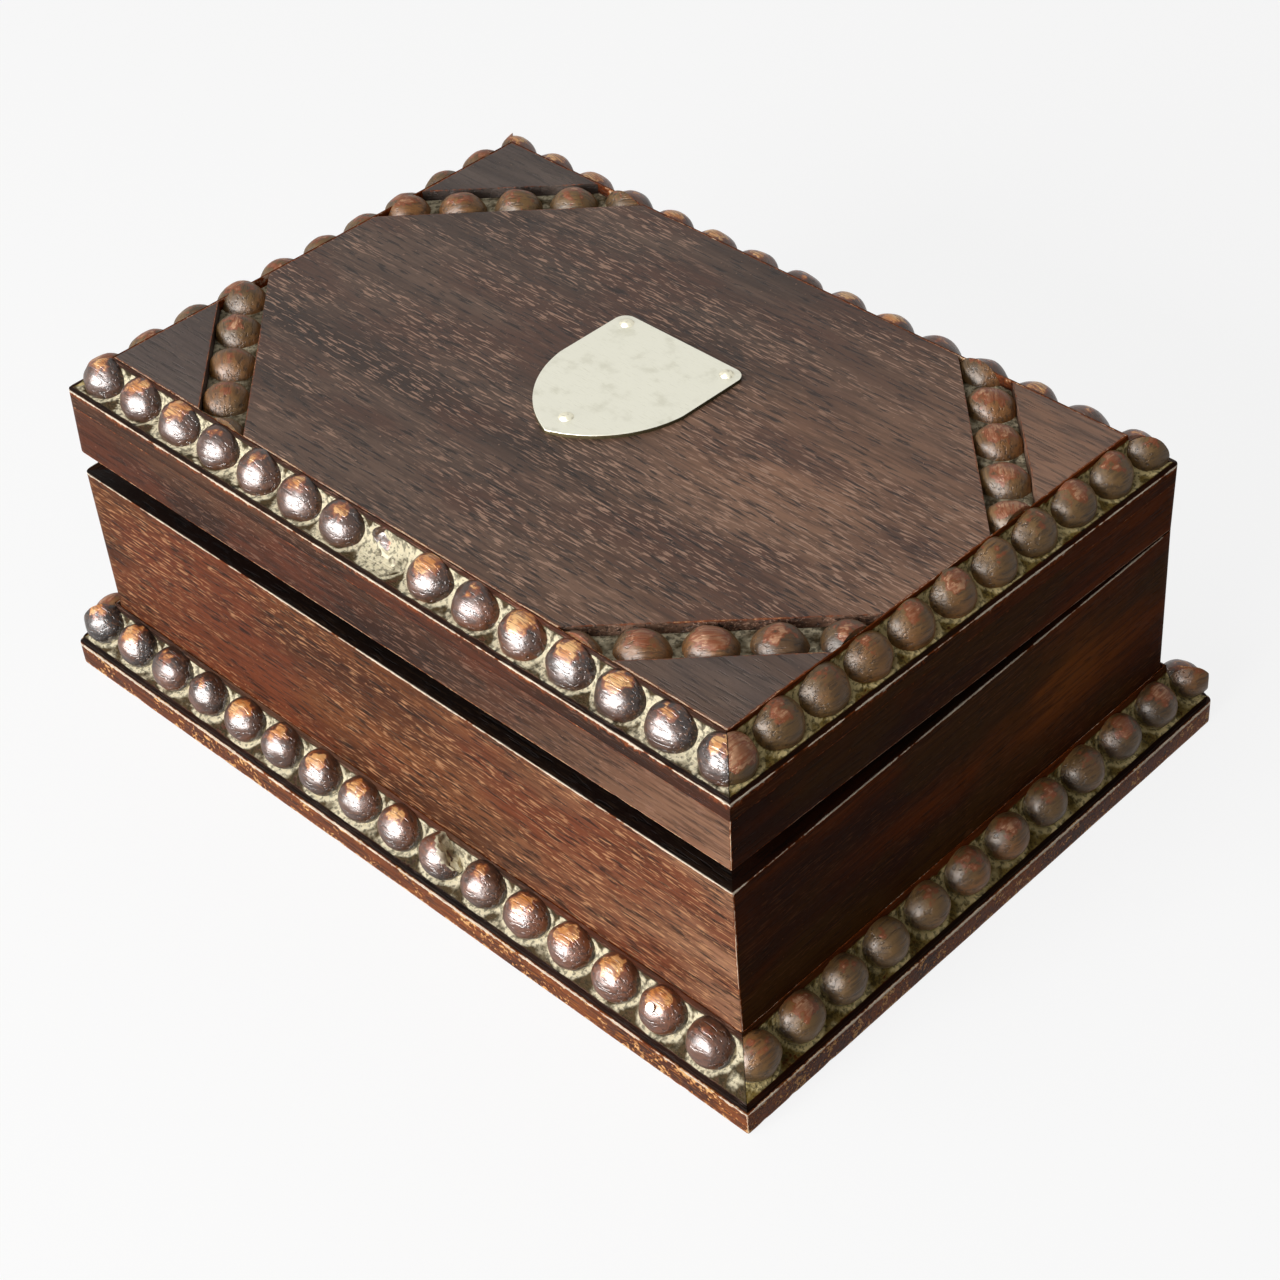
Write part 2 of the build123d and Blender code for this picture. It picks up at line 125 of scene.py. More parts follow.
class BoxSizes(bpy.types.PropertyGroup):
    """Sizes that shape the finish. The pieces' own sizes come from the frame."""

    edge_step: length("Edge step", "Spacing of points along a worn edge", 1.4)
    face_step: length("Face step", "Spacing of points elsewhere on a board", 4)
    bed_step: length("Bed step", "Spacing of a moulding's sections", 0.6)
    arris_depth: length("Arris wear", "How deep the corners are worn", 0.16)
    arris_reach: length("Arris reach", "How far wear runs in from a corner", 0.32)
    near_corner: length("Near corner", "Rounding of the sharpest upright corner", 0.4)
    case_corner: length("Case corners", "Rounding of the case's other upright corners", 2.2)
    foot_corner: length("Foot corners", "Rounding of the plinth's other corners", 2.6)
    lid_bead: length("Lid bead", "Radius of the beads round the lid", 5.8)
    lid_pitch_long: length("Lid pitch, long", "Bead spacing on the long sides", 13.25)
    lid_pitch_short: length("Lid pitch, short", "Bead spacing on the short sides", 12.7)
    lid_sag: length("Lid cove", "Depth of the lid moulding's cove", 2.2)
    base_bead: length("Base bead", "Radius of the beads round the foot", 5.4)
    base_pitch_long: length("Base pitch, long", "Bead spacing on the long sides", 13.1)
    base_pitch_short: length("Base pitch, short", "Bead spacing on the short sides", 13.05)
    base_rise: length("Base rise", "Height of the base moulding", 11.2)
    base_sag: length("Base cove", "Depth of the base moulding's cove", 2)
    wax_bank: length("Wax bank", "Height of the wax round each bead", 0.3)
    diagonal_width: length("Diagonal width", "Width of a diagonal strip", 10.5)
    diagonal_reach: length("Diagonal reach", "Where a diagonal meets the board's front", 62)
    diagonal_bead: length("Diagonal bead", "Radius of the diagonals' beads", 5.9)
    diagonal_pitch: length("Diagonal pitch", "Bead spacing on the diagonals", 13.1)
    groove_depth: length("Groove depth", "Depth of the diagonals' grooves", 4.2)
    shield_bevel: length("Shield bevel", "Width of the shield's rounded edge", 0.25)
    bead_facets: IntProperty(name="Bead facets", description="Flat cuts on a bead", default=22, min=4)


# The lid moulding in millimetres: its outer edge's height, the flat along it, and how far in and
# up its beads' centres lie
LID_LIP = 4.1
LID_RIM = 1.5
LID_BEAD_IN = 7.2
LID_BEAD_UP = 6.1
# The base moulding: the same, with the beads' centres measured out from the wall, and the gap
# between the mitre and the first bead of a short side
BASE_LIP = 0.9
BASE_RIM = 1.0
BASE_BEAD_OUT = 2.5
BASE_BEAD_UP = 5.6
BASE_START_SHORT = 3.0
# How far past a mitre the last bead may lie, and the gap left between two mitres
PAST_MITRE = 4.2
MITRE_GAP = 0.09
# A diagonal's beads: how far their centres lie below the board's top, and the middle one's shift
DIAGONAL_DROP = 4.2
DIAGONAL_SHIFT = -2.0
# Points closer than this to a level are on it
ON_LEVEL = 0.01


class BoxColours(bpy.types.PropertyGroup):
    """Colours of the stains, the wear, the wax and the shield."""

    board_dark: colour("Board, dark", "Stained oak, dark grain", "3d1b08")
    board_light: colour("Board, light", "Stained oak, light grain", "714020")
    board_streak: colour("Board, streaks", "Stain rubbed off the raised grain", "c08d64")
    # The end boards' grain colours are painted darker than the front's, as painted shade
    side_dark: colour("Side, dark", "Dark stained oak, dark grain", "240c02")
    side_light: colour("Side, light", "Dark stained oak, light grain", "6a300c")
    top_dark: colour("Top, dark", "Lid board, dark grain", "3a2a21")
    top_light: colour("Top, light", "Lid board, light grain", "6c5547")
    top_streak: colour("Top, streaks", "Lid board, rubbed grain", "b8937c")
    bead_dark: colour("Bead, dark", "Carved beads, in the hollows", "1c0d05")
    bead_light: colour("Bead, light", "Carved beads, on the rounds", "5c3318")
    rail_dark: colour("Rail, dark", "Lid rails and moulding edges, dark grain", "2c160b")
    rail_light: colour("Rail, light", "Lid rails and moulding edges, light grain", "593a28")
    plinth_dark: colour("Plinth, dark", "Plinth board, dark grain", "2e150a")
    plinth_light: colour("Plinth, light", "Plinth board, light grain", "5c2a0e")
    worn_oak: colour("Worn oak", "Oak where the stain is rubbed away", "d0853f")
    worn_under: colour("Worn stain", "Thin stain round a worn place", "84401c")
    pale_edge: colour("Pale edge", "Oldest wear, on the corners", "ecdcc6")
    wax_pale: colour("Wax, pale", "Dry wax round the beads", "dcd1b2")
    wax_dark: colour("Wax, dirty", "Old wax and dust in the hollows", "4c3d25")
    shield_metal: colour("Shield", "Nickel silver", "d5d3c4")


def toned(*codes):
    """Colours as linear RGBA, each by its property's name or its hex code."""
    group = bpy.context.scene.carved_box_colours
    return [[*getattr(group, code), 1.0] if hasattr(group, code) else linear(code) for code in codes]


def sizes():
    """The scene's sizes in millimetres, by name."""
    group = bpy.context.scene.carved_box_sizes
    values = {name: getattr(group, name) for name in BoxSizes.__annotations__}
    return {name: value if isinstance(value, int) else value / MM for name, value in values.items()}


# Shells: closed meshes as points, faces and the values that the materials read


def noise_at(points, scale, seed=0.0, octaves=3):
    """Smooth noise of about -1 to 1 at each point. The scale is in cycles a millimetre."""
    offset = Vector((seed * 17.3, seed * 5.1, seed * 9.7))
    return np.array([noise.fractal(Vector(p) * scale + offset, 1.0, 2.0, octaves) for p in points])


# How far in from a corner the rows of points lie that show its wear
CORNER_INSETS = (0.25, 0.6, 1.1)


def spread(run, step):
    """Shares along an edge from 0 up to its end, closer together near both ends."""
    close = np.array([0.0, *CORNER_INSETS, 2.0])
    if run < 3 * close[-1]:
        return np.arange(6) / 6
    parts = max(1, round((run - 2 * close[-1]) / step))
    middle = close[-1] + (run - 2 * close[-1]) * np.arange(1, parts) / parts
    return np.concatenate([close, middle, run - close[:0:-1]]) / run


def ring(corners, inset, steps):
    """Points round a convex outline, moved in by an inset, with a steady count on each edge."""
    outline = np.array(corners, float)
    edges = np.roll(outline, -1, axis=0) - outline
    runs = np.linalg.norm(edges, axis=1)
    normals = np.column_stack([-edges[:, 1], edges[:, 0]]) / runs[:, None]
    before = np.roll(normals, 1, axis=0)
    bisectors = (before + normals) / (1 + (before * normals).sum(1))[:, None]
    moved = outline + bisectors * inset
    points = []
    for index, step in enumerate(steps):
        share = spread(runs[index], step)[:, None]
        points.append(moved[index] * (1 - share) + moved[(index + 1) % len(moved)] * share)
    return np.vstack(points)


def planes_across(axis, places):
    """Planes square to an axis at places along it, each a point and a way."""
    way = np.eye(3)[axis]
    return [(way * place, way) for place in places]


def slab(corners, low, high, step, first_step=None):
    """A board with the given outline, seen from above, between two heights. The points along its
    first edge may have a step of their own."""
    steps = [first_step or step] + [step] * (len(corners) - 1)
    heights = low + (high - low) * np.append(spread(high - low, step), 1.0)
    places = [(low, inset) for inset in reversed(CORNER_INSETS)]
    places += [(height, 0.0) for height in heights]
    places += [(high, inset) for inset in CORNER_INSETS]
    rings = []
    for height, inset in places:
        outline = ring(corners, inset, steps)
        rings.append(np.column_stack([outline, np.full(len(outline), height)]))
    return lofted(rings)


def rectangle(x, y):
    """The four corners of a rectangle round the origin, anticlockwise."""
    return [(-x, -y), (x, -y), (x, y), (-x, y)]


def lofted(rings):
    """A closed shell through rings of equal count, capped at both ends."""
    count = len(rings[0])
    faces = []
    for row in range(len(rings) - 1):
        for number in range(count):
            a, b = row * count + number, row * count + (number + 1) % count
            faces.append((a, b, b + count, a + count))
    faces.append(tuple(range(count))[::-1])
    faces.append(tuple(range((len(rings) - 1) * count, len(rings) * count)))
    return np.vstack(rings), faces


def begun(points, faces):
    """A mesh in the making from points and faces."""
    work = bmesh.new()
    corners = [work.verts.new(point) for point in points]
    for face in faces:
        work.faces.new([corners[corner] for corner in face])
    return work


def ended(work):
    """The points and faces of a mesh in the making, which is let go."""
    work.verts.index_update()
    points = np.array([vertex.co for vertex in work.verts]).reshape(-1, 3)
    faces = [tuple(vertex.index for vertex in face.verts) for face in work.faces]
    work.free()
    return points, faces


def cut(work, planes, closed=False):
    """The points and faces of a mesh in the making, once it is cut along planes, each a point and a
    way. For a closed one, what lies that way goes and the hole is filled."""
    for spot, way in planes:
        everything = work.verts[:] + work.edges[:] + work.faces[:]
        made = bmesh.ops.bisect_plane(
            work, geom=everything, dist=1e-5, plane_co=spot, plane_no=way, clear_outer=closed
        )
        edges = [item for item in made["geom_cut"] if isinstance(item, bmesh.types.BMEdge)]
        if closed and edges:
            bmesh.ops.holes_fill(work, edges=edges)
    return ended(work)


def from_node(name):
    """A mesh in the making from a node, with its flat faces whole."""
    work = bmesh.new()
    work.from_mesh(frame["nodes"][name].data)
    bmesh.ops.remove_doubles(work, verts=work.verts, dist=1e-6)
    bmesh.ops.dissolve_limit(work, angle_limit=math.radians(1), verts=work.verts, edges=work.edges)
    return work


def rub_arrises(points, arrises, size, seed):
    """Wear corners away unevenly. An arris is its start, its end, the way in, its strength and how
    pale it is. Returns how worn and how pale each point is, from 0 to 1."""
    depth, reach = size["arris_depth"], size["arris_reach"]
    worn, pale = np.zeros(len(points)), np.zeros(len(points))
    at_start = points.copy()
    for number, (start, end, inward, strength, paleness) in enumerate(arrises):
        start, along = np.array(start, float), np.array(end, float) - np.array(start, float)
        inward = np.array(inward, float) / np.linalg.norm(inward)
        share = np.clip((at_start - start) @ along / (along @ along), 0, 1)
        distance = np.linalg.norm(at_start - start - share[:, None] * along, axis=1)
        near = np.where(distance < 3 * reach)[0]
        broad = noise_at(at_start[near], 0.06, seed + number + 50)
        fine = noise_at(at_start[near], 0.3, seed + number)
        fade = np.exp(-((distance[near] / reach) ** 2)) * strength
        chips = np.clip(fine - 0.35, 0, 1) * 3
        points[near] += inward * depth * ((0.7 + 0.4 * broad + chips) * fade)[:, None]
        level = fade * np.clip(0.95 + 0.6 * broad + 0.5 * fine, 0, 1.3)
        pale[near] = np.where(level > worn[near], paleness, pale[near])
        worn[near] = np.maximum(worn[near], level)
    return {"worn": np.clip(worn, 0, 1), "pale": pale}


# Two of these values paint light and shade: the shade value paints places dark, and the fading value
# paints light as well as real fading and rubbing
POINT_VALUES = ("worn", "pale", "wax", "shade", "broken", "faded")


def shell(points, faces, grain, maker, **values):
    """A shell of one finish with its values filled in to one for each point."""
    made = {"points": points, "faces": faces, "grain": np.array(grain, float), "maker": maker}
    for name in POINT_VALUES:
        made[name] = np.broadcast_to(np.asarray(values.get(name, 0.0), float), (len(points),)).copy()
    return made


def softened(points, half_x, half_y, size):
    """Points moved in where the box's upright corners are rubbed round."""
    usual = size["foot_corner" if half_x > HALF_LENGTH else "case_corner"]
    moved = points.copy()
    for sign in np.array([(1, -1), (1, 1), (-1, 1), (-1, -1)]):
        radius = size["near_corner"] if sign[0] > 0 > sign[1] else usual
        centre = np.array([half_x, half_y]) - radius
        gap = points[:, :2] * sign - centre
        away = np.maximum(np.linalg.norm(gap, axis=1), 1e-9)
        out = (gap > 0).all(1) & (away > radius)
        moved[out, :2] = sign * (centre + gap[out] * radius / away[out, None])
    return moved


def side_to_world(points, side, out, lid, size):
    """Points of one side (along, in from its outer face, up) turned to their place on the box.
    The outer face stands out from the case by the given amount."""
    reach = (HALF_DEPTH if side in LONG_SIDES else HALF_LENGTH) + out
    turn = math.radians(90 * SIDES.index(side))
    x, y, z = points[:, 0], points[:, 1] - reach, points[:, 2]
    world = np.column_stack(
        [x * math.cos(turn) - y * math.sin(turn), x * math.sin(turn) + y * math.cos(turn), z]
    )
    world = softened(world, HALF_LENGTH + out, HALF_DEPTH + out, size)
    return tilted(world) if lid else world


def cloud(across, up, centre, reach):
    """A soft patch in millimetres, 1 at its centre and fading out over its reach each way."""
    return np.exp(-(((across - centre[0]) / reach[0]) ** 2) - ((up - centre[1]) / reach[1]) ** 2)


def half_side(side):
    """Half of a side's length."""
    return HALF_LENGTH if side in LONG_SIDES else HALF_DEPTH


def make_piece(name, shells, body, node):
    """One object from shells, riding on a body and standing for its node."""
    faces, face_finish, start = [], [], 0
    makers = list(dict.fromkeys(part["maker"] for part in shells))
    for part in shells:
        faces += [tuple(start + corner for corner in face) for face in part["faces"]]
        face_finish += [makers.index(part["maker"])] * len(part["faces"])
        start += len(part["points"])
    mesh = bpy.data.meshes.new(name)
    mesh.from_pydata((np.vstack([part["points"] for part in shells]) * MM).tolist(), [], faces)
    for value in POINT_VALUES:
        layer = mesh.attributes.new(value, "FLOAT", "POINT")
        layer.data.foreach_set("value", np.concatenate([part[value] for part in shells]))
    layer = mesh.attributes.new("grain_place", "FLOAT_VECTOR", "POINT")
    layer.data.foreach_set("vector", np.vstack([part["grain"] for part in shells]).ravel())
    work = bmesh.new()
    work.from_mesh(mesh)
    bmesh.ops.recalc_face_normals(work, faces=work.faces)
    work.to_mesh(mesh)
    work.free()
    for maker in makers:
        mesh.materials.append(finish(maker))
    mesh.polygons.foreach_set("material_index", face_finish)
    stand_for(name, mesh, 32, body, node)


def stand_for(name, mesh, sharp_angle, body, node):
    """An object from a mesh, smooth up to an angle, riding on a body and standing for its node."""
    mesh.polygons.foreach_set("use_smooth", [True] * len(mesh.polygons))
    mesh.set_sharp_from_angle(angle=math.radians(sharp_angle))
    piece = bpy.data.objects.new(name, mesh)
    bpy.context.scene.collection.objects.link(piece)
    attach(piece, body)
    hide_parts(node)


# Materials


def add(tree, kind, inputs=None, give=0, **settings):
    """Add one node: settings are its own values, inputs are its sockets' values or links. Gives
    back one of its outputs, where it has any."""
    made = tree.nodes.new(kind)
    for key, value in settings.items():
        setattr(made, key, value)
    for key, value in (inputs or {}).items():
        if isinstance(value, bpy.types.NodeSocket):
            tree.links.new(value, made.inputs[key])
        else:
            made.inputs[key].default_value = value
    return made.outputs[give] if made.outputs else None


def new_material(name):
    """An empty node material."""
    material = bpy.data.materials.new(name)
    material.use_nodes = True
    material.node_tree.nodes.clear()
    return material, material.node_tree


def covering(tree, *parts):
    """How much a coat covers. A part is a value, or a value's soft step between two limits from 0
    up to a top, and the parts are multiplied."""
    product = None
    for part in parts:
        if isinstance(part, tuple):
            value, low, high, *top = part
            limits = {"Value": value, "From Min": low, "From Max": high, "To Max": top[0] if top else 1.0}
            part = add(tree, "ShaderNodeMapRange", limits, interpolation_type="SMOOTHSTEP")
        if product is not None:
            part = add(tree, "ShaderNodeMath", {0: product, 1: part}, operation="MULTIPLY")
        product = part
    return product


def coated(tree, shade, *coats):
    """A colour under coats, each given as its colour and the parts of what it covers."""
    for over, *parts in coats:
        values = {0: covering(tree, *parts), 6: shade, 7: over}
        shade = add(tree, "ShaderNodeMix", values, 2, data_type="RGBA")
    return shade


def summed(tree, total, *parts):
    """A value with others added to it, each times its weight."""
    for value, weight in parts:
        values = {0: value, 1: weight, 2: total}
        total = add(tree, "ShaderNodeMath", values, operation="MULTIPLY_ADD")
    return total


def finished(tree, values):
    """The end of a finish: its one shader, with its values or links, on the surface."""
    shader = add(tree, "ShaderNodeBsdfPrincipled", values)
    add(tree, "ShaderNodeOutputMaterial", {"Surface": shader})


def oak(name, stains, roughness, specular, streaks=0.7, flecks=0.0, dull=False):
    """Stained and waxed oak. Long fibres and short open pores give it streaks, rubbing wears the
    stain off the corners to pale wood, and old wax and dust fill the hollows. A dull one has browner
    wood and wax there. The stains are those of dark and light grain, of the red patches between them
    and of the rubbed streaks."""
    material, tree = new_material(name)
    dark, light, red, streak = toned(*stains)
    pore_black, dust, painted_shade_black, thin_stain, pale_edge = toned(
        "140b06", "2e281b", "060302", "worn_under", "pale_edge"
    )
    # The dull finish's wax is painted lighter, as painted light for the box's ends, which lie in shade
    bare_wood, bare_bright, fading_and_light_stain, wax_low, wax_high = toned(
        *("8f5a3a", "c0906c", "a8622a", "806b38", "dcc890")
        if dull else ("worn_oak", "eeb877", "ba8a6c", "wax_dark", "wax_pale")
    )
    read = {}
    for value in POINT_VALUES:
        read[value] = add(tree, "ShaderNodeAttribute", give="Fac", attribute_name=value)
    place = add(tree, "ShaderNodeAttribute", give="Vector", attribute_name="grain_place")

    def grained(along, across, detail=3.0, distortion=0.0):
        """Noise at the grain's place, in cycles a millimetre along and across it."""
        values = {0: place, 1: (along, across, across)}
        spot = add(tree, "ShaderNodeVectorMath", values, operation="MULTIPLY")
        values = {"Vector": spot, "Scale": 1.0, "Detail": detail, "Distortion": distortion}
        return add(tree, "ShaderNodeTexNoise", values)

    # Growth bands 8 to 20 mm wide, fibres 0.5 mm wide. The pores are 0.2 mm wide and 2 to 5 mm long in
    # real oak and are drawn 0.3 mm wide, so that they show
    bands = grained(0.006, 0.06, distortion=0.5)
    fibres = grained(0.07, 1.1)
    pores = grained(0.24, 2.0, 2.0)
    dark_pores = grained(0.17, 1.5, 2.0)
    gathered = summed(tree, grained(0.02, 0.13), (read["faded"], 0.2))
    patches = grained(0.022, 0.05)
    specks = grained(1.1, 1.1)
    blotches = grained(0.28, 0.33)
    open_pores = covering(tree, (dark_pores, 0.56, 0.66))
    ragged = summed(tree, -0.4, (specks, 0.8))

    worn = summed(tree, ragged, (read["worn"], 1.0))
    oldest = covering(tree, read["pale"], (worn, 0.45, 0.65))
    if flecks:
        knocks = summed(tree, 0.0, (specks, 0.5), (blotches, 0.5))
        # Knocks are kept out of the painted shade
        outside_painted_shade = summed(tree, 1.0, (read["shade"], -1.0))
        worn = summed(tree, worn, (covering(tree, (knocks, 0.5, 0.62, flecks), outside_painted_shade), 1.0))
    bare = coated(
        tree, bare_wood,
        (bare_bright, (blotches, 0.4, 0.62)),
        (thin_stain, (pores, 0.46, 0.6, 0.75)),
        (pale_edge, oldest),
    )
    wax = summed(tree, -0.35, (blotches, 0.7), (read["wax"], 1.0))
    waxed = covering(tree, (summed(tree, ragged, (wax, 1.0)), 0.3, 0.55))
    wax_tone = coated(
        tree, wax_low, (wax_high, (wax, 0.62, 0.92)), (dust, (specks, 0.48, 0.62, 0.65))
    )
    crumbled = coated(tree, linear("cfc49f"), (linear("7c6848"), (blotches, 0.46, 0.66)))
    shade = coated(
        tree, dark,
        (light, (bands, 0.36, 0.64)),
        # A lighter stain, partly painted light and partly real fading and rubbing
        (fading_and_light_stain, read["faded"]),
        (red, (patches, 0.44, 0.62, 0.85)),
        (dark, (fibres, 0.42, 0.68, 0.6)),
        (streak, (pores, 0.545, 0.625), (gathered, 0.38, 0.58, streaks)),
        (pore_black, (dark_pores, 0.56, 0.66, 0.3 + 0.6 * streaks)),
        (streak, (specks, 0.68, 0.74, 0.5)),
        (thin_stain, (worn, 0.18, 0.44, 0.85)),
        (bare, (worn, 0.42, 0.62)),
        (wax_tone, waxed),
        (crumbled, (read["broken"], 0.3, 0.6)),
        # Painted shade: near black where the shade value is high
        (painted_shade_black, read["shade"]),
    )

    matt = add(tree, "ShaderNodeMath", {0: waxed, 1: read["broken"]}, operation="MAXIMUM")
    grainy_wax = covering(tree, waxed, specks)
    height = summed(tree, 0.0, (specks, 0.45), (fibres, 0.5), (open_pores, -0.5), (grainy_wax, 1.5))
    finished(tree, {
        "Base Color": shade,
        "Roughness": summed(tree, roughness - 0.11, (specks, 0.22), (matt, 0.4)),
        "Normal": add(tree, "ShaderNodeBump", {"Strength": 0.6, "Distance": 0.00025, "Height": height}),
        "IOR": 1.5,
        "Specular IOR Level": specular,
    })
    return material


def front_oak():
    """Front and back boards: red-brown stain, rubbed to a soft sheen where hands hold the box."""
    stains = ("board_dark", "board_light", "6e351c", "board_streak")
    return oak("Oak, stained and waxed, front and back", stains, 0.5, specular=0.05, streaks=0.8)


def rail_oak():
    """Lid rails and the mouldings' edges: the same stain, darker with the grease of hands."""
    stains = ("rail_dark", "rail_light", "5a2e1c", "9a7460")
    return oak("Oak, stained and waxed, lid rails", stains, 0.5, specular=0.05, streaks=0.42)


def side_oak():
    """End boards: the same stain, duller because they are handled less, and painted darker as painted
    shade.
    """
    stains = ("side_dark", "side_light", "3d2408", "6b4227")
    return oak("Oak, dark stained, ends", stains, 0.62, specular=0.02, streaks=0.4, dull=True)


def top_oak():
    """Lid board: quarter-sawn, dark, with short rubbed streaks and a grey haze of old wax."""
    stains = ("top_dark", "top_light", "573a2d", "top_streak")
    return oak("Oak, quarter-sawn, stained and waxed, lid", stains, 0.45, specular=0.22, streaks=0.8)


def inner_oak():
    """Inside of the lid: the same stain, never polished."""
    stains = ("24140b", "46301f", "3c2015", "6b4f3a")
    return oak("Oak, stained, inside the lid", stains, 0.7, specular=0.05, streaks=0.3)


def corner_oak():
    """Lid board's corners, where hands seldom rub: smooth and grey under old wax."""
    stains = ("40342e", "685950", "574943", "86705f")
    return oak("Oak, quarter-sawn, lid corners", stains, 0.5, specular=0.22, streaks=0.25)


def bead_oak():
    """Carved beads: almost black in the hollows, polished on the rounds, with a glossy old finish."""
    stains = ("bead_dark", "bead_light", "7a4322", "8a5c3c")
    return oak("Oak, carved and polished, beads", stains, 0.34, specular=0.6, streaks=0.35)


def dull_bead_oak():
    """Carved beads on the ends and the lid's corners: the same, under a dull film of wax and dust."""
    stains = ("33230e", "74562e", "8a5a2c", "7d6040")
    name = "Oak, carved, dull with old wax, beads"
    return oak(name, stains, 0.46, specular=0.3, streaks=0.3, dull=True)


def plinth_oak():
    """Plinth board: thin red-brown stain, knocked through to orange wood along its edge."""
    stains = ("plinth_dark", "plinth_light", "8c4a22", "b8702f")
    return oak("Oak, stained and waxed, plinth", stains, 0.5, specular=0.08, flecks=0.62)


def metal(name, tones, roughness, tarnish_share, spot_size, scratch_size):
    """A worn metal: fine scratches from cleaning and darker spots of tarnish, both sized in
    millimetres. Its tones are the clean metal's and the tarnish's."""
    material, tree = new_material(name)
    clean, tarnish = toned(*tones)
    coords = add(tree, "ShaderNodeTexCoord", give="Object")
    values = {"Vector": coords, "Scale": 1 / (spot_size * MM), "Detail": 4.0, "Roughness": 0.6}
    spots = add(tree, "ShaderNodeTexNoise", values)
    fine = 1 / (scratch_size * MM)
    values = {"Vector": coords, "Rotation": (0.0, 0.0, 0.6), "Scale": (fine / 25, fine, fine / 25)}
    drawn = add(tree, "ShaderNodeMapping", values)
    lines = add(tree, "ShaderNodeTexNoise", {"Vector": drawn, "Scale": 1.0, "Detail": 2.0})
    spotted, scored = (spots, 0.5, 0.72, tarnish_share), (lines, 0.62, 0.72, 0.35)
    finished(tree, {
        "Base Color": coated(tree, clean, (tarnish, spotted), (tarnish, scored)),
        "Metallic": 1.0,
        "Roughness": summed(tree, roughness - 0.12, (lines, 0.25)),
        "Normal": add(tree, "ShaderNodeBump", {"Strength": 0.5, "Distance": 0.00003, "Height": lines}),
    })
    return material


def shield_silver():
    """Shield: rolled nickel silver, warm ivory, scratched by cleaning."""
    return metal("Nickel silver, rolled", ("shield_metal", "9c9880"), 0.4, 0.28, 5.0, 0.12)


def shaded_edge_silver():
    """The plate's sawn edge, never polished, black with tarnish and wax, and painted darker still as
    painted shadow.
    """
    return metal("Nickel silver, tarnished, edge", ("3a3323", "15110b"), 0.6, 0.6, 0.6, 0.2)


def pin_silver():
    """Domed pins: the same metal, darker from handling."""
    return metal("Nickel silver, domed pins", ("d9d4bf", "6e6750"), 0.36, 0.7, 1.0, 0.15)


def hinge_brass():
    """Hinges and their screws: rolled brass gone dull and brown."""
    return metal("Brass, rolled and dulled", ("7a5c2e", "3d2c18"), 0.58, 0.8, 1.5, 0.15)


def dull_steel():
    """Nail and bottom screws: mild steel with a brown skin."""
    return metal("Mild steel, dulled", ("9a948a", "4f4335"), 0.5, 0.7, 0.8, 0.15)


FINISHES = {}


def finish(maker):
    """A maker's material, made once."""
    if maker.__name__ not in FINISHES:
        FINISHES[maker.__name__] = maker()
    return FINISHES[maker.__name__]


# Boards


def hinged_board(node, lid, size):
    """A back board from its node, so that it keeps the pockets for its hinges, as points (along, in
    from its outer face, up). It is cut into strips, close together by its corners, that can wear."""
    work = from_node(node)
    places = np.array([vertex.co for vertex in work.verts]) / MM
    places = tilted(places, -LID_AJAR) if lid else places
    for vertex, (x, y, z) in zip(work.verts, places):
        vertex.co = (-x, HALF_DEPTH - y, z)
    low, high = places[:, 2].min(), places[:, 2].max()
    count = int(2 * HALF_LENGTH / size["face_step"])
    cuts = planes_across(0, np.linspace(-HALF_LENGTH, HALF_LENGTH, count + 1)[1:-1])
    for inset in CORNER_INSETS:
        cuts += planes_across(0, (inset - HALF_LENGTH, HALF_LENGTH - inset))
        cuts += planes_across(2, (low + inset, high - inset)) + planes_across(1, [inset])
    return cut(work, cuts)


def board_shell(side, low, high, size, lid, seed, maker):
    """One mitred board of a side, rubbed along the corners that hands and other boards meet."""
    half = half_side(side)
    if side == "back":
        points, faces = hinged_board("lid_rail_back" if lid else "case_back", lid, size)
    else:
        corners = [(-half, 0.0), (half, 0.0), (half - WALL, WALL), (WALL - half, WALL)]
        points, faces = slab(corners, low, high, size["face_step"], size["edge_step"])
    x, y, z = points.T
    # Painted shade: the faces that close on each other, in the gap between lid and case, are painted near
    # black, and the inside faces are painted darker
    meeting = low if lid else high
    meeting_shade = 0.96 if side in LONG_SIDES else 0.8
    shade = np.where((abs(z - meeting) < ON_LEVEL) & (y > 0.2), meeting_shade, 0.0)
    shade = np.where((y > WALL - ON_LEVEL) & (shade == 0), 0.45, shade)
    strength, paleness, inward = (0.75, 0.35, 1) if lid else (1.0, 1.0, -1)
    arrises = [((-half, 0, meeting), (half, 0, meeting), (0, 1, inward), strength, paleness)]
    for sign in (-1, 1):
        arrises.append(((sign * half, 0, low), (sign * half, 0, high), (-sign, 0.4, 0), 0.7, 0.7))
    if lid:
        arrises.append(((-half, 0, high), (half, 0, high), (0, 1, -1), 0.35, 0.6))
    faded = 0.0
    if side == "front":
        # Painted light: the front boards are painted a little lighter towards their right end
        faded = 0.55 * np.clip(x / half, 0, 1) ** 1.5
    elif side == "right" and not lid:
        # The stain has gone thin and orange in a cloud high up towards the back
        faded = 0.5 * cloud(x, z, centre=(32, 40), reach=(22, 11))
    grain = points + seed * np.array([311.0, 47.0, 23.0])
    wear = rub_arrises(points, arrises, size, seed)
    points = side_to_world(points, side, 0.0, lid, size)
    return shell(points, faces, grain, maker, shade=shade, faded=faded, **wear)


# Mouldings


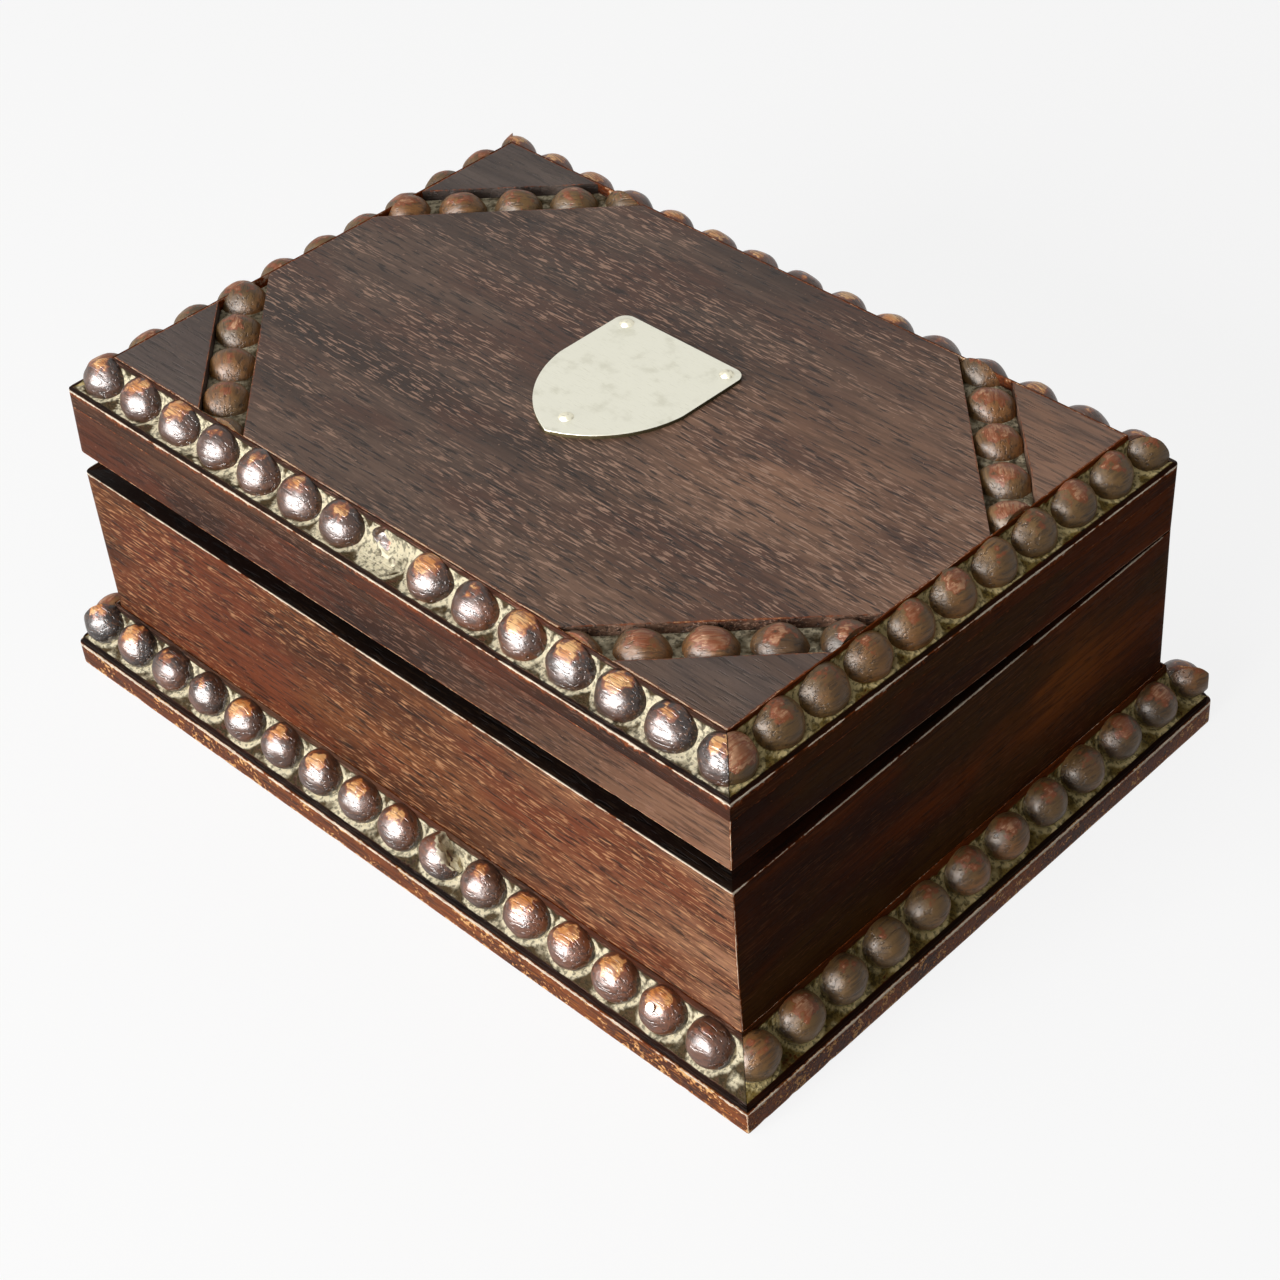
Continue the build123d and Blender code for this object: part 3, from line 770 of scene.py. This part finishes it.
def profile_ring(width, lip, rim, height, sag, land=0.4):
    """A coved moulding's outline as points (in from its outer face, up), anticlockwise."""
    rim_end = np.array([rim, lip + rim * 0.2])
    chord = np.array([width - land, height]) - rim_end
    normal = np.array([chord[1], -chord[0]]) / np.linalg.norm(chord)
    points = [(0.0, 0.0), (0.0, lip * 0.5), (0.0, lip - 0.3), (0.0, lip)]
    for share in (0.2, 0.45, 0.7, 1.0):
        points.append(tuple(np.array([0.0, lip]) * (1 - share) + rim_end * share))
    for share in np.linspace(0.0, 1.0, 19)[1:]:
        points.append(tuple(rim_end + chord * share + normal * sag * 4 * share * (1 - share)))
    points += [(width, height), (width, height * 0.5), (width, 0.0), (width * 0.5, 0.0)]
    return np.array(points)


def ball():
    """A ball of even triangles with a radius of 1."""
    work = bmesh.new()
    bmesh.ops.create_icosphere(work, subdivisions=4, radius=1.0)
    return ended(work)


BALL = ball()


def carved_bead(centre, radius, facing, facets, rng, broken=None):
    """A bead cut with a gouge: a ball with soft flats on the side that faces out. A broken bead is
    given by how much is kept, the way it broke off and where a stub is left."""
    directions = BALL[0]
    facing = np.array(facing, float) / np.linalg.norm(facing)
    cuts = []
    while len(cuts) < facets:
        direction = rng.normal(size=3)
        direction /= np.linalg.norm(direction)
        if direction @ facing > -0.1:
            cuts.append(direction)
    heights = rng.uniform(0.95, 1.0, facets)
    level = np.clip(directions @ np.array(cuts).T, 0, None) / heights
    power = 34.0
    shape = (1.0 + (level**power).sum(1)) ** (-1 / power)
    shape *= 1.0 + 0.008 * noise_at(directions * 2.2 + rng.uniform(0, 50, 3), 1.0, octaves=2)
    stretch = np.array([rng.uniform(1.04, 1.09), rng.uniform(0.97, 1.0), rng.uniform(0.97, 1.0)])
    offset = directions * (radius * shape)[:, None] * stretch
    if broken:
        kept, way, stub = broken
        way = np.array(way) / np.linalg.norm(way)
        out = offset @ way
        left = 0.5 * np.exp(-((np.linalg.norm(directions - stub, axis=1) / 0.4) ** 2))
        crumbled = kept + left + 0.16 * noise_at(directions * 2.6 + rng.uniform(0, 50, 3), 1.0)
        offset += way * (np.minimum(out, radius * crumbled) - out)[:, None]
    return np.array(centre) + offset


def bead_row(centres, radius, facing, facets, rng, planes, broken):
    """A row of carved beads, cut to their strip and closed again, as points and faces."""
    balls, faces = [], []
    for number, centre in enumerate(centres):
        balls.append(carved_bead(centre, radius, facing, facets, rng, broken.get(number)))
        faces += [tuple(corner + len(BALL[0]) * number for corner in face) for face in BALL[1]]
    return cut(begun(np.vstack(balls), faces), planes, closed=True)


def from_beads(points, centres):
    """Each point's nearest bead, its way from that bead's centre and its distance."""
    gaps = points[:, None, :] - np.array(centres)[None, :, :]
    distance = np.linalg.norm(gaps, axis=2)
    nearest = distance.argmin(1)
    away = distance.min(1)
    direction = gaps[np.arange(len(points)), nearest] / np.maximum(away, 1e-6)[:, None]
    return nearest, direction, away


def bead_values(points, centres, facing, rubbed, seed, broken, knocked):
    """How worn, waxed and broken each point of a row of beads is. The upper side of each bead is
    rubbed through by an amount, more on the knocked ones, and wax clings low on its sides."""
    nearest, direction, away = from_beads(points, centres)
    facing = np.array(facing, float) / np.linalg.norm(facing)
    rough = noise_at(points, 0.7, seed)
    share = np.random.default_rng(int(seed)).uniform(0.9, 1.12, len(centres))
    share[list(knocked)] = 1.7
    upper = direction @ (np.array([0, 0, 0.8]) + 0.5 * facing)
    worn = np.clip((upper - 0.98 / share[nearest]) * 3.4 * rubbed * share[nearest] + 0.6 * rough, 0, 0.75)
    worn[upper < 0.78 / share[nearest]] = 0
    wax = np.clip((0.36 - direction @ facing) * 2.0 + 0.35 * rough, 0, 0.78)
    gone = np.zeros(len(points), bool)
    for number, (kept, way, stub) in broken.items():
        height = direction @ (np.array(way) / np.linalg.norm(way)) * away / away.max()
        torn = (nearest == number) & (height > kept - 0.12)
        gone |= torn & (np.linalg.norm(direction - stub, axis=1) > 0.85)
    return {"worn": np.where(gone, 0, worn), "wax": wax, "broken": gone * 1.0}


def beaded_strip(side, kind, size, seed, broken, knocked):
    """A coved and beaded moulding for one side of the lid or the base, mitred at both ends."""
    rng = np.random.default_rng(int(seed))
    half, long_side, lid = half_side(side), side in LONG_SIDES, kind == "lid"
    if lid:
        out, foot, width, height = 0.0, RAIL_TOP, MOULDING, LID_TOP - RAIL_TOP
        lip, rim, inset, up = LID_LIP, LID_RIM, LID_BEAD_IN, LID_BEAD_UP
        start, mirrored = 0.0, side == "right"
    else:
        out, foot, width, height = FOOT, FLOOR, FOOT, size["base_rise"]
        lip, rim, inset, up = BASE_LIP, BASE_RIM, FOOT - BASE_BEAD_OUT, BASE_BEAD_UP
        start, mirrored = 0.0 if long_side else BASE_START_SHORT, side != "left"
    sag, radius = size[kind + "_sag"], size[kind + "_bead"]
    pitch = size[kind + ("_pitch_long" if long_side else "_pitch_short")]
    outer_half = half + out
    bead_half = outer_half - inset
    count = int((2 * bead_half - start + PAST_MITRE) / pitch) + 1
    way = -1 if mirrored else 1
    centres = [((bead_half - start - pitch * index) * way, inset, foot + up) for index in range(count)]
    facing = (0.0, -0.72, 0.69)

    profile = profile_ring(width, lip, rim, height, sag)
    rings = []
    for line in np.linspace(-1, 1, int(2 * outer_half / size["bed_step"]) + 1):
        along = line * (outer_half - profile[:, 0] - MITRE_GAP)
        rings.append(np.column_stack([along, profile[:, 0], profile[:, 1] + foot]))
    points, faces = lofted(rings)
    x, y, z = points.T
    edge_up, top = foot + lip, foot + height
    # Wax banks up in a ring against each bead, and the gouge leaves the bed uneven
    nearest, _, away = from_beads(points, centres)
    beside = away - radius
    in_cove = (y > rim - 0.3) & (y < width - 0.5) & (z > edge_up)
    bank = size["wax_bank"] * np.exp(-(((beside - 0.75) / 0.4) ** 2)) + 0.1 * noise_at(points, 0.7, seed)
    points[in_cove] += np.array(facing) * bank[in_cove, None]
    mottled = noise_at(points, 0.25, seed + 3)
    wax = np.where(in_cove, 0.62 + 0.45 * np.exp(-(((beside - 0.6) / 0.6) ** 2)) + 0.3 * mottled, 0.0)
    # The hollow that a broken bead leaves is full of wax
    wax[in_cove & (beside < 0) & np.isin(nearest, list(broken))] += 0.3
    # Painted shade darkens the flat along the moulding's outer edge
    on_rim = (z > edge_up + 0.02) & (y < rim - 0.2)
    shade = np.where(on_rim & (y > 0.25), 0.85, 0.0)
    if not lid:
        # Painted shadow blackens the step where the moulding stands on the plinth
        shade = np.where((y < rim - 0.2) & (z < edge_up + 0.5), 0.85, shade)
    top_half = outer_half - width
    lip_strength = 1.0 if lid else 0.0
    arrises = [
        ((-outer_half, 0, edge_up), (outer_half, 0, edge_up), (0, 1, -0.6), lip_strength, 1.0),
        ((-top_half, width, top), (top_half, width, top), (0, -0.4, -1), 0.5, 0.6),
    ]
    wear = rub_arrises(points, arrises, size, seed)
    bed = (points, faces, rail_oak if long_side else side_oak)
    bed_values = {"wax": np.clip(wax, 0, 1), "shade": shade, **wear}

    planes = planes_across(1, [width - 0.02])
    planes += [((outer_half - MITRE_GAP, 0, 0), (1, 1, 0)), ((MITRE_GAP - outer_half, 0, 0), (-1, 1, 0))]
    planes += [((0, 0.05, 0), (0, -1, 0)), ((0, 0, foot + 0.02), (0, 0, -1))]
    points, faces = bead_row(centres, radius, facing, size["bead_facets"], rng, planes, broken)
    beads = (points, faces, bead_oak if long_side else dull_bead_oak)
    rubbed = 1.0 if long_side else 0.6
    values = bead_values(points, centres, facing, rubbed, seed + 7, broken, knocked)
    shells = []
    for (points, faces, maker), shown in ((bed, bed_values), (beads, values)):
        grain = points + seed * np.array([291.0, 37.0, 13.0])
        shells.append(shell(side_to_world(points, side, out, lid, size), faces, grain, maker, **shown))
    return shells


# Operators, one for each group of like pieces


class CARVEDBOX_OT_plinth(bpy.types.Operator):
    """Build the plinth board with its rubbed edges"""

    bl_idname = "carved_box.plinth"
    bl_label = "Plinth Board"

    def execute(self, context):
        size = sizes()
        corners = rectangle(PLINTH_X, PLINTH_Y)
        points, faces = slab(corners, 0.0, FLOOR, size["edge_step"])
        x, y, z = points.T
        # Painted shade darkens the plinth's top inside the case and under the moulding
        under_case = np.minimum(PLINTH_X - abs(x), PLINTH_Y - abs(y)) > 0.3
        shade = np.where((abs(z - FLOOR) < ON_LEVEL) & under_case, 0.9, 0.0)
        arrises = []
        for (x, y), (next_x, next_y) in zip(corners, corners[1:] + corners[:1]):
            inward = (-np.sign(x + next_x), -np.sign(y + next_y))
            arrises.append(((x, y, FLOOR), (next_x, next_y, FLOOR), (*inward, -1), 1.0, 0.95))
            arrises.append(((x, y, 0), (next_x, next_y, 0), (*inward, 1), 0.6, 0.3))
            arrises.append(((x, y, 0), (x, y, FLOOR), (-np.sign(x), -np.sign(y), 0), 0.8, 0.6))
        wear = rub_arrises(points, arrises, size, 4)
        points[:, 2] = np.clip(points[:, 2], 0, FLOOR)
        rounded = softened(points, PLINTH_X, PLINTH_Y, size)
        board = shell(rounded, faces, points + 900, plinth_oak, shade=shade, **wear)
        make_piece("plinth_board_worn", [board], "case", "plinth_board")
        return {"FINISHED"}


class CARVEDBOX_OT_boards(bpy.types.Operator):
    """Build the four walls of the case and the four rails of the lid"""

    bl_idname = "carved_box.boards"
    bl_label = "Walls and Rails"

    def execute(self, context):
        size = sizes()
        for name, node, low, high, body, first_seed, long_oak in (
            ("case_%s_board", "case_%s", FLOOR, RIM, "case", 1.0, front_oak),
            ("lid_%s_rail", "lid_rail_%s", LID_LOW, RAIL_TOP, "lid", 21.0, rail_oak),
        ):
            for index, side in enumerate(SIDES):
                maker = long_oak if side in LONG_SIDES else side_oak
                board = board_shell(side, low, high, size, body == "lid", first_seed + index, maker)
                make_piece(name % side, [board], body, node % side)
        return {"FINISHED"}


class CARVEDBOX_OT_mouldings(bpy.types.Operator):
    """Build the beaded mouldings round the foot of the case and round the lid's top"""

    bl_idname = "carved_box.mouldings"
    bl_label = "Beaded Mouldings"

    def execute(self, context):
        size = sizes()
        # The front bead that is broken, as how much is kept, the way it broke off and where a stub is
        # left. One on the base has crumbled at its upper right, and one on the lid has left a hollow
        crumbled = {9: (0.6, (0.62, 0.35, 0.7), (0, 0, -1))}
        hollow = {7: (0.12, (0, -0.72, 0.69), (-0.5, 0.1, 0.85))}
        # The lid's right side has its first bead, by the near corner, knocked through to the wood
        for kind, body, first_seed, broken, knocked in (
            ("base", "case", 11.0, crumbled, ()), ("lid", "lid", 31.0, hollow, (0,)),
        ):
            for index, side in enumerate(SIDES):
                flaws = broken if side == "front" else {}, knocked if side == "right" else ()
                shells = beaded_strip(side, kind, size, first_seed + index, *flaws)
                make_piece("%s_beads_%s" % (kind, side), shells, body, "%s_moulding_%s" % (kind, side))
        return {"FINISHED"}


def diagonal_lines(size):
    """Where a diagonal band's inner and outer edge lie, as the sum of x and y."""
    outer = size["diagonal_reach"] + PANEL_Y
    return outer - size["diagonal_width"] * math.sqrt(2), outer


# Places in the order that the lid board's pieces are made: the bed, the field, the four corners
BED, FIELD, NEAR_CORNER = 0, 1, 4


class CARVEDBOX_OT_lid_board(bpy.types.Operator):
    """Build the lid's board: its field, its four corners and the bed under the grooves"""

    bl_idname = "carved_box.lid_board"
    bl_label = "Lid Board"

    def execute(self, context):
        size = sizes()
        inner, outer = diagonal_lines(size)
        bed = LID_TOP - size["groove_depth"]
        lap = 0.2
        quarter = [(PANEL_X, inner - PANEL_X), (inner - PANEL_Y, PANEL_Y)]
        field = quarter + [(-x, y) for x, y in reversed(quarter)]
        field += [(-x, -y) for x, y in field]
        corner = [(PANEL_X, outer - PANEL_X), (PANEL_X, PANEL_Y), (outer - PANEL_Y, PANEL_Y)]
        outlines = [(rectangle(PANEL_X, PANEL_Y), RAIL_TOP, bed), (field, bed - lap, LID_TOP)]
        for sign_x, sign_y in ((-1, -1), (-1, 1), (1, -1), (1, 1)):
            turned = [(x * sign_x, y * sign_y) for x, y in corner]
            outlines.append((turned[:: sign_x * sign_y], bed - lap, LID_TOP))
        shells = []
        for number, (outline, low, high) in enumerate(outlines):
            points, faces = slab(outline, low, high, size["edge_step"])
            if number == FIELD:
                grid = size["face_step"]
                cuts = planes_across(0, np.arange(grid - PANEL_X, PANEL_X, grid))
                cuts += planes_across(1, np.arange(grid - PANEL_Y, PANEL_Y, grid))
                points, faces = cut(begun(points, faces), cuts)
            x, y, z = points.T
            # Painted shade darkens the board inside the lid
            shade = np.where(abs(z - RAIL_TOP) < ON_LEVEL, 0.3, 0.0)
            arrises = []
            for start, end in zip(outline, outline[1:] + outline[:1]):
                if number != BED:
                    edge = np.array(end) - np.array(start)
                    inward = (-edge[1], edge[0], -np.linalg.norm(edge))
                    along_front = start[1] < 0 and start[1] == end[1]
                    strength, paleness = (0.85, 0.55) if along_front else (0.4, 0.3)
                    arrises.append(((*start, high), (*end, high), inward, strength, paleness))
            wear = rub_arrises(points, arrises, size, 60 + number)
            # Painted light makes the board lighter towards its right end, and hands have rubbed the
            # field beside the shield
            rightwards = np.clip(x / PANEL_X, 0, 1)
            handled = cloud(x, y, centre=(40, 6), reach=(26, 17))
            faded = {BED: 0.0, FIELD: 0.45 * rightwards + 0.45 * handled, NEAR_CORNER: 0.12}
            faded = faded.get(number, 0.62 * rightwards)
            maker = {BED: inner_oak, FIELD: top_oak}.get(number, corner_oak)
            values = {"shade": shade, "faded": faded, **wear}
            shells.append(shell(tilted(points), faces, points + 500, maker, **values))
        make_piece("lid_board_worn", shells, "lid", "lid_top_board")
        return {"FINISHED"}


class CARVEDBOX_OT_diagonals(bpy.types.Operator):
    """Build the four diagonal bead strips in the lid's grooves"""

    bl_idname = "carved_box.diagonals"
    bl_label = "Diagonal Strips"

    def execute(self, context):
        size = sizes()
        inner, outer = diagonal_lines(size)
        middle = (inner + outer) / 2
        bed = LID_TOP - size["groove_depth"]
        radius, pitch = size["diagonal_bead"], size["diagonal_pitch"]
        near, far = np.array([middle - PANEL_Y, PANEL_Y]), np.array([PANEL_X, middle - PANEL_X])
        centre, run = (near + far) / 2, np.linalg.norm(far - near)
        along = (far - near) / run
        reach = int((run / 2 + radius) / pitch) + 1
        flat = [centre + along * (index * pitch + DIAGONAL_SHIFT) for index in range(-reach, reach + 1)]
        centres = [(x, y, LID_TOP - DIAGONAL_DROP) for x, y in flat]
        # The strip lies in its groove with a slit on each side
        slit = 0.25
        inner, outer = inner + slit, outer - slit
        outline = [(inner - PANEL_Y, PANEL_Y), (PANEL_X, inner - PANEL_X)]
        outline += [(PANEL_X, outer - PANEL_X), (outer - PANEL_Y, PANEL_Y)]
        planes = planes_across(0, [PANEL_X]) + planes_across(1, [PANEL_Y])
        planes += [((inner / 2, inner / 2, 0), (-1, -1, 0)), ((outer / 2, outer / 2, 0), (1, 1, 0))]
        planes += [((0, 0, bed + 0.02), (0, 0, -1))]
        facing = (0, 0, 1)
        # The grain runs along the strip
        turned = np.array([[0.7071, 0.7071, 0], [-0.7071, 0.7071, 0], [0, 0, 1]])
        corners = (("front_left", 0.35), ("front_right", 0.85), ("back_left", 0.35), ("back_right", 0.55))
        for seed, (name, rubbed) in enumerate(corners, 72):
            rng = np.random.default_rng(seed)
            sign = np.array([1 if "right" in name else -1, 1 if "back" in name else -1, 1.0])
            strip, strip_faces = slab(outline, bed, bed + 1.6, size["edge_step"])
            wax = np.where(strip[:, 2] > bed + 1.5, 0.74, 0.0)
            row = bead_row(centres, radius, facing, size["bead_facets"], rng, planes, {})
            values = bead_values(row[0], centres, facing, rubbed, seed, {}, ())
            shells = []
            for maker, points, faces, shown in (
                (rail_oak, strip, strip_faces, {"wax": wax}),
                (dull_bead_oak, *row, values),
            ):
                grain = points @ turned + 300 * seed
                shells.append(shell(tilted(points * sign), faces, grain, maker, **shown))
            make_piece("diagonal_beads_" + name, shells, "lid", "diagonal_strip_" + name)
        return {"FINISHED"}


class CARVEDBOX_OT_shield(bpy.types.Operator):
    """Build the shield with its soft edge, from the frame's own outline"""

    bl_idname = "carved_box.shield"
    bl_label = "Shield"

    def execute(self, context):
        bevel = sizes()["shield_bevel"] * MM
        work = from_node("shield_plate")
        up = max(work.faces, key=lambda face: face.calc_area() * face.normal.z).normal.copy()

        def facing_up():
            """The faces that make up the plate's flat top."""
            return [face for face in work.faces if face.normal.dot(up) > 0.9999]

        top = set(facing_up())
        rim = [edge for edge in work.edges if len(top.intersection(edge.link_faces)) == 1]
        bmesh.ops.bevel(
            work, geom=rim, offset=bevel, segments=3, affect="EDGES", profile=0.5, clamp_overlap=True
        )
        # A narrow flat border keeps the rounded edge's shading off the rest of the top
        bmesh.ops.inset_region(work, faces=facing_up(), thickness=bevel / 4, use_even_offset=True)
        mesh = bpy.data.meshes.new("shield_rolled")
        work.to_mesh(mesh)
        work.free()
        for maker in (shield_silver, shaded_edge_silver):
            mesh.materials.append(finish(maker))
        # The plate's upright and lower faces take the dark edge finish: tarnish, and painted shadow round
        # the plate
        flat_enough = 0.3
        for face in mesh.polygons:
            face.material_index = int(face.normal.z < flat_enough)
        stand_for("shield_rolled", mesh, 40, "lid", "shield_plate")
        return {"FINISHED"}


class CARVEDBOX_OT_fittings(bpy.types.Operator):
    """Give the pins, hinges, screws and nail their metals"""

    bl_idname = "carved_box.fittings"
    bl_label = "Metal Fittings"

    def execute(self, context):
        metals = {"shield_pins": pin_silver, "moulding_nail": dull_steel, "bottom_screws": dull_steel}
        for name, node in frame["nodes"].items():
            maker = metals.get(name, hinge_brass if name.startswith("hinge") else None)
            if maker:
                node.data.materials.clear()
                node.data.materials.append(finish(maker))
        return {"FINISHED"}


# The camera that took the photograph, found from the box's own edges
CAMERA_PLACE = (351.62, -315.80, 437.54)
CAMERA_TURN = 47.64
CAMERA_RAISE = 41.85
CAMERA_ROLL = -5.31
CAMERA_LENS = 77.93
SENSOR = 36.0
# How far the floor reaches each way, in metres
FLOOR_REACH = 6.0


def area_lamp(name, place, aim, width, height, power):
    """A soft box at a place, turned to a point."""
    lamp = bpy.data.lights.new(name, "AREA")
    lamp.shape = "RECTANGLE"
    lamp.size, lamp.size_y, lamp.energy = width, height, power
    holder = bpy.data.objects.new(name, lamp)
    holder.location = place
    holder.rotation_euler = (Vector(aim) - Vector(place)).to_track_quat("-Z", "Y").to_euler()
    bpy.context.scene.collection.objects.link(holder)
    return holder


def seen_directly(tree):
    """1 for rays from the camera and for reflections, 0 for the light that falls on the object."""
    rays = add(tree, "ShaderNodeLightPath").node.outputs
    seen = rays["Is Camera Ray"]
    for kind in ("Is Glossy Ray", "Is Transmission Ray"):
        seen = add(tree, "ShaderNodeMath", {0: seen, 1: rays[kind]}, operation="MAXIMUM")
    return seen


class CARVEDBOX_OT_stage(bpy.types.Operator):
    """Set up the pale floor, the soft light and the camera"""

    bl_idname = "carved_box.stage"
    bl_label = "Stage"

    def execute(self, context):
        scene = context.scene
        floor_mesh = bpy.data.meshes.new("floor")
        corners = [(x, y, 0) for x, y in rectangle(FLOOR_REACH, FLOOR_REACH)]
        floor_mesh.from_pydata(corners, [], [(0, 1, 2, 3)])
        floor = bpy.data.objects.new("floor", floor_mesh)
        floor.location.z = -0.0001
        scene.collection.objects.link(floor)
        # Looked at, the floor is mostly plain white, over matt paint that keeps the shadow. To the
        # light that it throws back on the object it is a darker table
        material, tree = new_material("Painted board, matt, floor")
        paint = add(tree, "ShaderNodeBsdfDiffuse", {"Color": linear("f4f4f3")})
        white = add(tree, "ShaderNodeEmission", {"Color": (1, 1, 1, 1), "Strength": 1.0})
        looked_at = add(tree, "ShaderNodeMixShader", {0: 0.85, 1: paint, 2: white})
        table = add(tree, "ShaderNodeBsdfDiffuse", {"Color": linear("606060")})
        both = add(tree, "ShaderNodeMixShader", {0: seen_directly(tree), 1: table, 2: looked_at})
        add(tree, "ShaderNodeOutputMaterial", {"Surface": both})
        floor_mesh.materials.append(material)

        world = bpy.data.worlds.new("studio")
        scene.world = world
        world.use_nodes = True
        tree = world.node_tree
        tree.nodes.clear()
        lit = add(tree, "ShaderNodeBackground", {"Color": (1, 1, 1, 1), "Strength": 0.16})
        shown = add(tree, "ShaderNodeBackground", {"Color": (1, 1, 1, 1), "Strength": 1.0})
        both = add(tree, "ShaderNodeMixShader", {0: seen_directly(tree), 1: lit, 2: shown})
        add(tree, "ShaderNodeOutputWorld", {"Surface": both})

        area_lamp("front_window", (0.0, -1.3, 0.52), (0, 0, 0.04), 0.9, 0.7, 19.0)
        # A bright card in the same place that shows only as the gleam on polished wood and metal
        gleam = area_lamp("window_gleam", (-0.15, -1.28, 0.55), (0, 0, 0.04), 1.5, 1.1, 165.0)
        gleam.visible_diffuse = False
        area_lamp("top_fill", (-0.35, -0.55, 1.35), (0, 0, 0.05), 0.9, 0.9, 5.0)

        turn, tip = math.radians(CAMERA_TURN), math.radians(CAMERA_RAISE)
        camera_data = bpy.data.cameras.new("camera")
        camera = bpy.data.objects.new("camera", camera_data)
        camera_data.sensor_width = SENSOR
        camera_data.lens = CAMERA_LENS
        camera_data.clip_start = 0.01
        looking = Matrix.Rotation(turn, 4, "Z") @ Matrix.Rotation(math.pi / 2 - tip, 4, "X")
        rolled = looking @ Matrix.Rotation(math.radians(CAMERA_ROLL), 4, "Z")
        camera.matrix_world = Matrix.Translation(Vector(CAMERA_PLACE) * MM) @ rolled
        scene.collection.objects.link(camera)
        scene.camera = camera
        scene.view_settings.view_transform = "Standard"
        return {"FINISHED"}


STEPS = (
    CARVEDBOX_OT_plinth,
    CARVEDBOX_OT_boards,
    CARVEDBOX_OT_lid_board,
    CARVEDBOX_OT_mouldings,
    CARVEDBOX_OT_diagonals,
    CARVEDBOX_OT_shield,
    CARVEDBOX_OT_fittings,
    CARVEDBOX_OT_stage,
)


class CARVEDBOX_PT_panel(bpy.types.Panel):
    """The steps and values of the carved box"""

    bl_idname = "CARVEDBOX_PT_panel"
    bl_label = "Carved Box"
    bl_space_type = "VIEW_3D"
    bl_region_type = "UI"
    bl_category = "Carved Box"

    def draw(self, context):
        for step in STEPS:
            self.layout.operator(step.bl_idname)
        for group in (context.scene.carved_box_sizes, context.scene.carved_box_colours):
            for name in group.__annotations__:
                self.layout.prop(group, name)


CLASSES = (BoxSizes, BoxColours, *STEPS, CARVEDBOX_PT_panel)


def register():
    """Register every class and hang the values on the scene."""
    for item in CLASSES:
        bpy.utils.register_class(item)
    bpy.types.Scene.carved_box_sizes = PointerProperty(type=BoxSizes)
    bpy.types.Scene.carved_box_colours = PointerProperty(type=BoxColours)


def unregister():
    """Take the values and every class away again."""
    del bpy.types.Scene.carved_box_sizes
    del bpy.types.Scene.carved_box_colours
    for item in reversed(CLASSES):
        bpy.utils.unregister_class(item)


def main():
    """Run every step in order."""
    register()
    for step in STEPS:
        group, name = step.bl_idname.split(".")
        getattr(getattr(bpy.ops, group), name)()
    bpy.context.view_layer.update()


if __name__ == "__main__":
    main()
